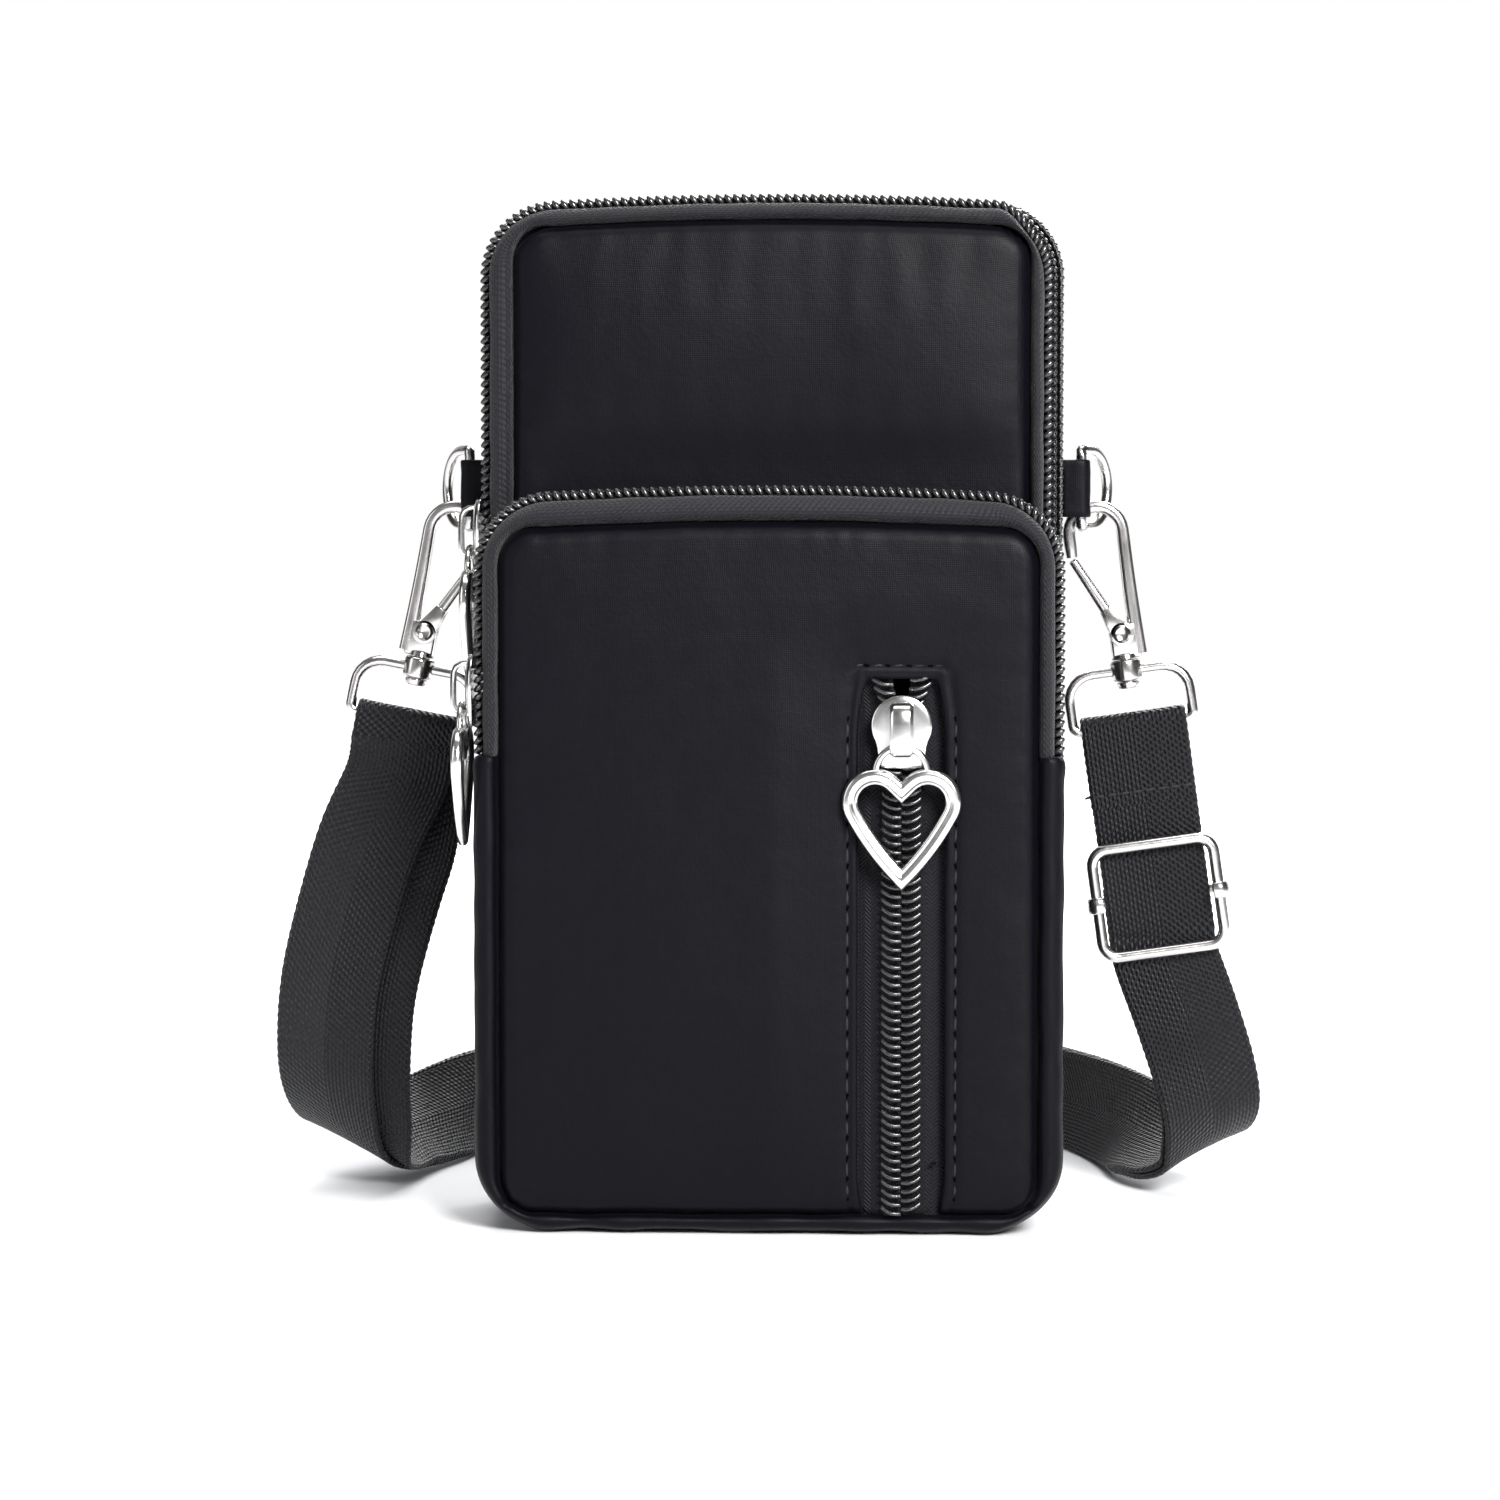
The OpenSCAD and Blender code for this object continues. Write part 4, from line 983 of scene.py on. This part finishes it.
def slider_body(bm):
    # domed shield, seen from the front: round above, waisted below
    radius = 5.4
    half = [(p.x, p.z) for p in arc(0.0, 1.0, radius, range(84, -33, -6))]
    half += [(4.35, -2.9), (4.2, -4.2), (4.1, -5.4), (3.95, -6.2), (3.5, -6.6), (2.4, -6.7)]
    edge = [(0.0, 6.4)] + half + [(-x, z) for x, z in reversed(half)]
    cap = [bm.faces.new([bm.verts.new((x, plate_face + 1.0, z)) for x, z in edge])]
    for share, raise_by in ((None, 0.72), (0.93, 0.26), (0.84, 0.16), (0.66, 0.12), (0.40, 0.06)):
        made = bmesh.ops.extrude_face_region(bm, geom=cap)["geom"]
        rim = [v for v in made if isinstance(v, bmesh.types.BMVert)]
        if share:
            size = share*radius/max(v.co.x for v in rim)
            bmesh.ops.scale(bm, vec=(size, 1.0, size), verts=rim)
        bmesh.ops.translate(bm, verts=rim, vec=Vector((0, -raise_by, 0)))
        cap = [f for f in made if isinstance(f, bmesh.types.BMFace)]
    # lower plate behind the coil, and the neck between
    bevelled(bm, edges_at(box(bm, (5.3, 1.0, 9.0), (0, 3.0, 0))), 0.35, 3)
    box(bm, (1.0, 3.6, 5.5), (0, 1.2, 1.0))
    # bridge: a raised strap over the eye, its foot turned back under the loop
    run = [(4.9, -1.2), (4.75, -2.5), (4.2, -3.5), (3.2, -4.0), (1.2, -4.12), (-1.2, -4.12), (-2.9, -4.05),
           (-3.8, -3.6), (-4.25, -2.8), (-4.35, -1.2)]
    points = [Vector((0, y, z)) for z, y in run]
    rounded_bar(bm, points, [(-0.4, -2.05), (-0.4, 2.05), (-0.1, 2.1), (0.32, 1.6), (0.42, 1.3),
                             (0.42, -1.3), (0.32, -1.6), (-0.1, -2.1)], Vector((1, 0, 0)))


def heart_run():
    """Middle line of the heart's bar, round from its tip."""
    top = pivot_z - 3.8
    tip, bend, notch = (Vector((x, pull_y, top + z)) for x, z in ((0.0, -20.1), (5.3, -14.8), (0.0, -4.4)))
    bow = arc(4.75, top - 6.15, 4.55, [-25.5 + 159.3*k/24 for k in range(25)], pull_y)
    right = [tip.lerp(bend, t/14).lerp(bend.lerp(bow[0], t/14), t/14) for t in range(1, 14)] + bow
    right += [bow[-1].lerp(notch, t/4) for t in range(1, 4)]
    return [tip] + right + [notch] + [Vector((-p.x, p.y, p.z)) for p in reversed(right)]


def pull_body(bm):
    points = heart_run()
    frames = []
    for k, (p, ahead) in enumerate(headings(points, ring=True)):
        out = ahead.cross(rearward).normalized()
        turn = (points[(k + 1) % len(points)] - p).normalized().dot((p - points[k - 1]).normalized())
        wide = 1.0/max(cos(acos(max(-1, min(1, turn)))/2), 0.62)
        frames.append((p, out*wide, rearward))
    front = [(-1.6, 0.0), (-1.42, 0.66), (-0.95, 1.02), (-0.25, 1.10), (0.25, 0.98), (0.52, 0.74),
             (0.74, 0.74), (1.0, 0.86), (1.32, 0.74), (1.54, 0.40), (1.6, 0.0)]
    section = [(0.93*a, -b) for a, b in front] + [(0.93*a, b) for a, b in reversed(front[1:-1])]
    sweep(bm, frames, section, ring=True)
    loop_r = 4.7
    loop = arc(0.0, pivot_z - loop_r, loop_r, range(-12, 193, 8), pull_y)
    sink = Vector((0.0, 0, 0.5))
    rounded_bar(bm, [loop[0] - sink] + loop + [loop[-1] - sink], circle(0.66, 12), rearward)


on_left = Matrix.Rotation(radians(-90), 4, "Z")
for tag, place in (
    ("main", Matrix.Translation((-54.0, 3.5, 127.5)) @ on_left),
    ("pocket", Matrix.Translation((-53.6, -14.0, 99.0)) @ on_left),
    ("front", Matrix.Translation((slot_x, -20.9, 91.8))),
):
    bm = bmesh.new()
    slider_body(bm)
    piece(bm, tag + "_slider_casting", bright, (tag + "_slider",), tag + "_slider", 50, place)
    bm = bmesh.new()
    pull_body(bm)
    piece(bm, tag + "_heart", bright, (tag + "_pull",), tag + "_pull", 60, place)

# D-ring tabs: a strip of the body nylon folded round the ring's bar and sewn in
# behind the zip. D-rings: bent nickel-plated wire, swung to the back.
nickel = plated("nickel_wire", (0.64, 0.62, 0.61), 0.35)
tab_x, tab_y, tab_z, tab_half = 57.9, 16.6, 136.0, 5.4
ring_r, ring_straight, ring_swing = 7.25, 3.5, radians(60)


def steady_bar(bm, points, radius, ring=False):
    """Round wire along any smooth run of points."""
    frames, side = [], None
    for p, ahead in headings(points, ring):
        if side is None:
            side = ahead.orthogonal().normalized()
        side = (side - ahead*side.dot(ahead)).normalized()
        frames.append((p, side*radius, ahead.cross(side)*radius))
    sweep(bm, frames, circle(1.0, 14), ring=ring)


for side, tag in ((-1, "left"), (1, "right")):
    bm = bmesh.new()
    bends = [radians(-90 + 22.5*k) for k in range(9)]
    section = [(side*(tab_x + 1.75*cos(a)), tab_y + 1.75*sin(a)) for a in bends]
    sewn_x = side*53.7
    section += [(sewn_x, tab_y + 1.5), (sewn_x, tab_y - 1.5)]
    stations = [(Vector((0, 0, tab_z + tab_half*(2*k/9 - 1))), Vector((1, 0, 0)), rearward)
                for k in range(10)]
    sweep(bm, stations, section)
    rims = [e for e in edges_at(bm.verts, 1.2) if abs(abs(e.verts[0].co.z - tab_z) - tab_half) < 0.01]
    bevelled(bm, rims, 0.35, 2)
    long_edges = [e for e in bm.edges if e.calc_length() > 2.5]
    bmesh.ops.subdivide_edges(bm, edges=long_edges, cuts=2, use_grid_fill=True)
    crumple(bm.verts[:], 0.18, 3.0, None, 3.0*side)
    piece(bm, "tab_cloth_" + tag, nylon, ("tab_" + tag,))

    bm = bmesh.new()
    out = Vector((side*cos(ring_swing), sin(ring_swing), 0))
    base = Vector((side*tab_x, tab_y, tab_z))
    up = Vector((0, 0, ring_r))
    lip = Vector((0, 0, 0.12))
    run = [base + up*(1 - 0.2*k) for k in range(1, 10)]
    run += [base + out*(0.35*t) - up + lip*(1 - t) for t in (0.3, 1.0)]
    run += [base + out*(ring_straight*t) - up for t in (0.4, 0.7, 1.0)]
    run += [base + out*(ring_straight + ring_r*sin(a)) - up*cos(a) for a in map(radians, range(9, 180, 9))]
    run += [base + out*(ring_straight*t) + up for t in (1.0, 0.7, 0.4)]
    run += [base + out*(0.35*t) + up - lip*(1 - t) for t in (1.0, 0.3)]
    steady_bar(bm, run, 1.0, ring=True)
    piece(bm, "dring_wire_" + tag, nickel, ("dring_" + tag,), "dring_" + tag)

# Snap hooks: a cast body whose spine sweeps into the bow, a pressed gate on a
# riveted pin, and a swivel post that turns in the strap loop's collar.
hooks = {
    "left": (Vector((-66.994, 20.497, 108.702)), -1, 11.0),
    "right": (Vector((65.799, 20.497, 108.385)), 1, 8.0),
}
hook_section = [tuple(copysign(abs(c)**0.7, c) for c in corner) for corner in circle(1.0, 20)]
bow_x, bow_z, bow_r, spine_low, swivel_z = -2.2, 19.6, 5.1, -4.0, -6.96
crisp = 0.8  # edges that turn more than this are rounded
hangs = {}


def drum(bm, low, top, depth, at, segments=32, turn=0.0):
    """A capped round form from radius low to radius top, turned about X."""
    matrix = Matrix.Translation(at) @ Matrix.Rotation(turn, 4, "X")
    return bmesh.ops.create_cone(bm, cap_ends=True, segments=segments, radius1=low, radius2=top,
                                 depth=depth, matrix=matrix)["verts"]


def wire_corners(half_w, half_h, r_up, r_low, steps, y=0.0, z=0.0):
    """Points of a closed rounded wire, by its corners from the upper right."""
    run = []
    for right, up, first in ((1, 1, 0), (-1, 1, 90), (-1, -1, 180), (1, -1, 270)):
        r = r_up if up > 0 else r_low
        degrees = [first + 90*k/steps for k in range(steps + 1)]
        run += arc(right*(half_w - r), z + up*(half_h - r), r, degrees, y)
    return run


for tag, (rivet, side, lean) in hooks.items():
    mirrored = Matrix.Scale(side, 4, (1, 0, 0))
    hang = Matrix.Translation(rivet) @ mirrored @ Matrix.Rotation(radians(-lean), 4, "Y")
    hangs[tag] = hang

    bm = bmesh.new()
    spine = [k/11 for k in range(12)]
    run = [Vector((bow_x + bow_r - 0.15*sin(pi*t), 0, spine_low + (bow_z - spine_low)*t)) for t in spine]
    run += arc(bow_x, bow_z, bow_r, range(12, 181, 12))
    run += [Vector((bow_x - bow_r, 0, bow_z - d)) for d in (1.3, 2.6, 3.95)]
    sizes = [1.5 - 0.3*t for t in spine] + [1.2]*16 + [1.16, 1.05]
    frames = []
    for (p, ahead), size in zip(headings(run), sizes):
        out = ahead.cross(rearward).normalized()
        frames.append((p, out*size, Vector((0, min(size, 1.22), 0))))
    sweep(bm, frames, hook_section)
    block = box(bm, (5.6, 2.4, 7.0), (0.55, 0, -1.25))
    for v in block:
        if v.co.z > 0 and v.co.x < 0:
            v.co.z -= 0.7
    bevelled(bm, edges_at(block), 0.5, 3)
    drum(bm, 1.2, 1.2, 6.4, (0, 0, -7.2), 24)
    bevelled(bm, edges_at(drum(bm, 1.9, 2.25, 1.3, (0, 0, -9.77)), crisp), 0.3, 3)
    drum(bm, 2.5, 2.2, 0.8, (0, 0, -4.35))
    piece(bm, "hook_casting_" + tag, nickel, ("hook_" + tag,), "hook_" + tag, 42, hang)

    # the gate: a bar from between its two cheeks up to the bow's nose
    bm = bmesh.new()
    foot, tall = 2.9, hypot(7.1, 15.1) - 0.2
    frames = [(Vector((0, 0, foot + (tall - foot)*k/9)), Vector((1.15 - 0.25*k/9, 0, 0)),
               Vector((0, 1.2 if k else 1.7, 0))) for k in range(10)]
    frames.append((Vector((0, 0, tall + 0.35)), Vector((0.55, 0, 0)), Vector((0, 0.8, 0))))
    sweep(bm, frames, hook_section)
    for cheek_y in (-1.7, 1.7):
        cheek = drum(bm, 2.3, 2.3, 0.7, (0, cheek_y, 0), turn=pi/2)
        arm = bmesh.ops.create_cube(bm, size=1.0)["verts"]
        for v in arm:
            wide = 3.9 if v.co.z < 0 else 2.2
            v.co = Vector((v.co.x*wide, v.co.y*0.7 + cheek_y, 0.4 + (v.co.z + 0.5)*5.2))
        for part in (cheek, arm):
            bevelled(bm, edges_at(part, crisp), 0.16, 2)
    piece(bm, "gate_pressing_" + tag, nickel, ("gate_" + tag,), "gate_" + tag, 42,
          hang @ Matrix.Rotation(radians(-25.8), 4, "Y"))

    # the rivet: a pin with two dished heads
    bm = bmesh.new()
    for face_y in (-1.0, 1.0):
        head = drum(bm, 1.7, 1.25, 0.5, (0, face_y*2.36, 0), 28, -face_y*pi/2)
        ends = [f for f in {f for v in head for f in v.link_faces}
                if len(f.verts) > 8 and f.calc_center_median().y*face_y > 2.5]
        bmesh.ops.inset_region(bm, faces=ends, thickness=0.55)
        dished = list({v for f in ends for v in f.verts})
        bmesh.ops.translate(bm, verts=dished, vec=(0, -face_y*0.28, 0))
    drum(bm, 1.1, 1.1, 4.4, (0, 0, 0), 24, pi/2)
    piece(bm, "rivet_head_" + tag, nickel, ("gate_rivet_" + tag, "gate_spring_" + tag),
          "hook_" + tag, 30, hang)

    # the strap loop: bent wire, with the collar that the post turns in
    bm = bmesh.new()
    half_w, half_h = 11.5, 5.2
    steady_bar(bm, wire_corners(half_w, half_h, 5.0, 1.3, 6, z=swivel_z - half_h), 1.0, ring=True)
    bevelled(bm, edges_at(drum(bm, 2.9, 2.9, 4.1, (0, 0, swivel_z)), crisp), 0.7, 4)
    piece(bm, "strap_loop_wire_" + tag, nickel, ("strap_ring_" + tag,), "pouch", 42, hang)

# The strap: 20 mm woven nylon webbing, folded round both loops. From the left
# loop it runs down, twists on to its edge, lies round behind the pouch on the
# floor as two layers, and climbs through the adjuster to the right loop.
webbing, tree, shader, where = finish("webbing_weave", 0.46, sheen=0.04, gloss=0.27)
along, over = axes(tree, where["UV"])[:2]
slanted = step(tree, "ADD", along, step(tree, "MULTIPLY", step(tree, "ABSOLUTE", over), 0.9))
picks = step(tree, "SINE", step(tree, "MULTIPLY", slanted, 2*pi/0.00125))
warp = step(tree, "SINE", step(tree, "MULTIPLY", over, 2*pi/0.00078))
fuzz = grain(tree, where["Object"], 1300.0, 2.0, 0.6)
patch = grain(tree, where["Object"], 60.0, 2.0, 0.5)
height = scaled(tree, warp, 0.34, step(tree, "MULTIPLY", fuzz, 0.55))
height = scaled(tree, picks, 0.42, height)
shade = scaled(tree, height, 0.40, scaled(tree, patch, 0.35, 0.12))
dressed(tree, shader, tinted(tree, (0.0056, 0.0055, 0.0075), shade),
        relief(tree, height, 0.00028, relief(tree, patch, 0.0005)),
        scaled(tree, fuzz, 0.2, 0.40))

strap_route = [
    (-71.1, 18.6, 87.8), (-72.5, 18.6, 80.5), (-78.3, 17.0, 67.3), (-84.6, 16.5, 44.5),
    (-86.5, 19.0, 28.2), (-86.3, 24.6, 16.8), (-84.4, 32.3, 9.5), (-80.2, 42.1, 7.3), (-75.7, 53.9, 7.7),
    (-71.0, 65.7, 8.5), (-63.2, 82.8, 10.3), (-49.9, 104.3, 10.3), (-29.8, 119.7, 10.3),
    (-10.7, 128.0, 10.3), (10.7, 126.7, 10.3), (29.8, 117.8, 10.3), (49.5, 105.4, 10.3),
    (61.4, 81.8, 10.3), (69.4, 61.4, 9.3), (74.0, 46.4, 7.9), (78.4, 35.6, 7.4), (82.8, 29.1, 9.5),
    (83.9, 23.6, 16.0), (82.2, 21.2, 24.9), (78.8, 21.0, 35.4), (74.4, 18.6, 47.2), (73.7, 18.6, 52.3),
    (72.8, 18.6, 58.5), (70.3, 18.6, 76.3),
]
strap_widths = [
    (0.98, 0, -0.19), (0.98, 0, -0.19), (1, -0.1, -0.19), (1, -0.2, -0.14), (1, -0.25, -0.1),
    (0.95, -0.35, -0.16), (0.85, -0.5, -0.3), (0.6, -0.65, -0.45), (0.35, -0.75, -0.55),
    (0.15, -0.75, -0.62), (0, -0.35, -0.94), (0, 0, -1), (0, 0, -1), (0, 0, -1), (0, 0, -1), (0, 0, -1),
    (0, 0, -1), (0, -0.3, -0.95), (-0.12, -0.65, -0.7), (-0.35, -0.75, -0.55), (-0.6, -0.65, -0.45),
    (-0.85, -0.5, -0.3), (-0.95, -0.35, -0.17), (-1, -0.2, -0.14), (-1, -0.1, -0.16), (-0.99, 0, -0.14),
    (-0.99, 0, -0.14), (-0.99, 0, -0.14), (-0.99, 0, -0.14),
]


def smooth_run(points, steps):
    points = [Vector(p) for p in points]
    out = []
    for i in range(len(points) - 1):
        a, b, c, d = points[max(i - 1, 0)], points[i], points[i + 1], points[min(i + 2, len(points) - 1)]
        for k in range(steps):
            t = k/steps
            out.append((b*2 + (c - a)*t + (a*2 - b*5 + c*4 - d)*t*t + (b*3 - a - c*3 + d)*t**3)/2)
    return out + [points[-1]]


def strap_section():
    """Webbing cut across: flat faces with a rounded, slightly thicker edge."""
    half, t = 10.0, 0.6  # half of its width and thickness
    face = [(-half + 1.3, t), (-half/2, t*0.9), (0.0, t*0.94), (half/2, t*0.9), (half - 1.3, t)]
    edge = [(half - 0.5, t*1.05), (half - 0.1, t*0.6), (half, 0.0), (half - 0.1, -t*0.6),
            (half - 0.5, -t*1.05)]
    return face + edge + [(-a, -b) for a, b in face + edge]


def lay_webbing(bm, frames, start=0.0):
    """Sweeps webbing along frames, ribs its two edges and centres its weave."""
    section = strap_section()
    lengths = running([place for place, across, out in frames])
    total = lengths[-1]
    count = max(4, round(total/0.42))
    rib_pitch = 1.7
    dense = []
    marks = [total*n/count for n in range(count + 1)]
    for s, (k, t) in zip(marks, stretches(lengths, marks)):
        place, across, out = (a.lerp(b, t) for a, b in zip(frames[k], frames[k + 1]))
        across.normalize()
        out = (out - across*out.dot(across)).normalized()
        rib = 1 + 0.007*sin(2*pi*(s + start)/rib_pitch)
        wave = 0.10*noise.noise(Vector((s/16 + start, 0.5, 0.0)))
        dense.append((place + out*wave, across*rib, out))
    made = sweep(bm, dense, section, start=start)
    layer = bm.loops.layers.uv.verify()
    around = running(section, True)
    for face in {f for v in made for f in v.link_faces}:
        for corner in face.loops:
            v = corner[layer].uv.y/MM
            mid = around[2] if v < (around[7] + around[8])/2 else around[12]
            corner[layer].uv.y = (v - mid)*MM
    return total


widths = smooth_run(strap_widths, 6)
route = []
for i, (p, ahead) in enumerate(headings(smooth_run(strap_route, 6))):
    across = (widths[i] - ahead*widths[i].dot(ahead)).normalized()
    route.append((p, across, across.cross(ahead)))
bm = bmesh.new()
length = lay_webbing(bm, route)
run_out = piece(bm, "strap_outer_layer", webbing, ("strap_outer_run",), sharp=60)

bm = bmesh.new()
frames = []
for i, (p, across, inward) in enumerate(route[:len(route) - 12]):
    drawn = eased(i/12)
    aside = 7.0*drawn*eased((48 - i)/18)
    frames.append((p + inward*(3.8 - 2.3*drawn) + across*aside, across, inward))
length = lay_webbing(bm, frames, start=300.0)
run_in = piece(bm, "strap_inner_layer", webbing, ("strap_inner_run",), sharp=60)


def folded_frames(place, bar_z, radius, front, back, bends):
    """Webbing round a bar: up the front, over the bar and down the back."""
    run = [Vector((0, -radius, bar_z - front*(1 - k/6))) for k in range(6)]
    turn = [pi*(1 + k/bends) for k in range(bends + 1)]
    run += [Vector((0, radius*cos(a), bar_z - radius*sin(a))) for a in turn]
    run += [Vector((0, radius, bar_z - back*(k + 1)/6)) for k in range(6)]
    across = Vector((1, 0, 0))
    turned = place.to_3x3()
    return [(place @ p, turned @ across, turned @ ahead.cross(across)) for p, ahead in headings(run)]


bar_z = -17.36
for tag, start, tail in (("left", -70.0, 4.8), ("right", 70.0, 15.0)):
    bm = bmesh.new()
    lay_webbing(bm, folded_frames(hangs[tag], bar_z, 1.95, tail, tail, 14), start)
    piece(bm, "strap_turn_" + tag, webbing, ("strap_fold_" + tag,), sharp=60)

seam_z = bar_z - 12.6
fold_stitches = [(Vector((-8.4 + 2.4*k, 2.62*face, seam_z)), Vector((1, 0, -0.05*face)), Vector((0, face, 0)))
                 for k in range(8) for face in (-1, 1)]
fold_stitches.append((Vector((-10.3, -1.2, seam_z)), Vector((-1.0, 0.1, -0.25)), Vector((0, -1, 0))))
turned = hangs["right"].to_3x3()
fold_stitches = [(hangs["right"] @ p, turned @ along, turned @ out) for p, along, out in fold_stitches]
bm = bmesh.new()
stitch_row(bm, fold_stitches, 1.9, 0.55, 0.4)
piece(bm, "strap_stitches", thread)

# Adjuster: a square frame of bent wire, its joint at the top, with a bar whose
# two ends are crimped round the frame. The strap's sewn end turns round the bar.
at_adjuster = hangs["right"] @ Matrix.Translation((0, 0, bar_z - 33.0))
frame_y, bar_y = -4.0, 1.5
half_w, half_h = 11.6, 10.3
bm = bmesh.new()
steady_bar(bm, wire_corners(half_w, half_h, 3.1, 3.1, 7, frame_y), 1.1, ring=True)
piece(bm, "adjuster_wire", nickel, ("adjuster_frame",), "adjuster", place=at_adjuster)

bm = bmesh.new()
steady_bar(bm, [Vector((half_w*(k/6 - 1), bar_y, 0)) for k in range(13)], 1.1)
for side in (-1, 1):
    crimp = [Vector((side*(half_w + x), y, 0)) for x, y in (
        (-0.2, bar_y), (0.05, bar_y - 1.2), (0.3, bar_y - 2.6), (1.0, frame_y + 0.9), (1.45, frame_y),
        (1.0, frame_y - 1.15), (0.0, frame_y - 1.55), (-0.9, frame_y - 1.25))]
    frames = []
    for k, (p, ahead) in enumerate(headings(crimp)):
        high, thick = (1.5, 0.5) if k > 1 else (1.15, 1.0)
        frames.append((p, Vector((0, 0, high)), ahead.cross(Vector((0, 0, 1)))*thick))
    sweep(bm, frames, circle(1.0, 12))
piece(bm, "adjuster_crimped_bar", nickel, ("adjuster_bar",), "adjuster", 60, at_adjuster)

bm = bmesh.new()
round_bar = at_adjuster @ Matrix.Translation((0, bar_y, 0))
lay_webbing(bm, folded_frames(round_bar, 0.0, 2.0, 6.0, 12.0, 12), start=40.0)
piece(bm, "strap_sewn_end", webbing, ("strap_end_fold",), "adjuster", sharp=60)
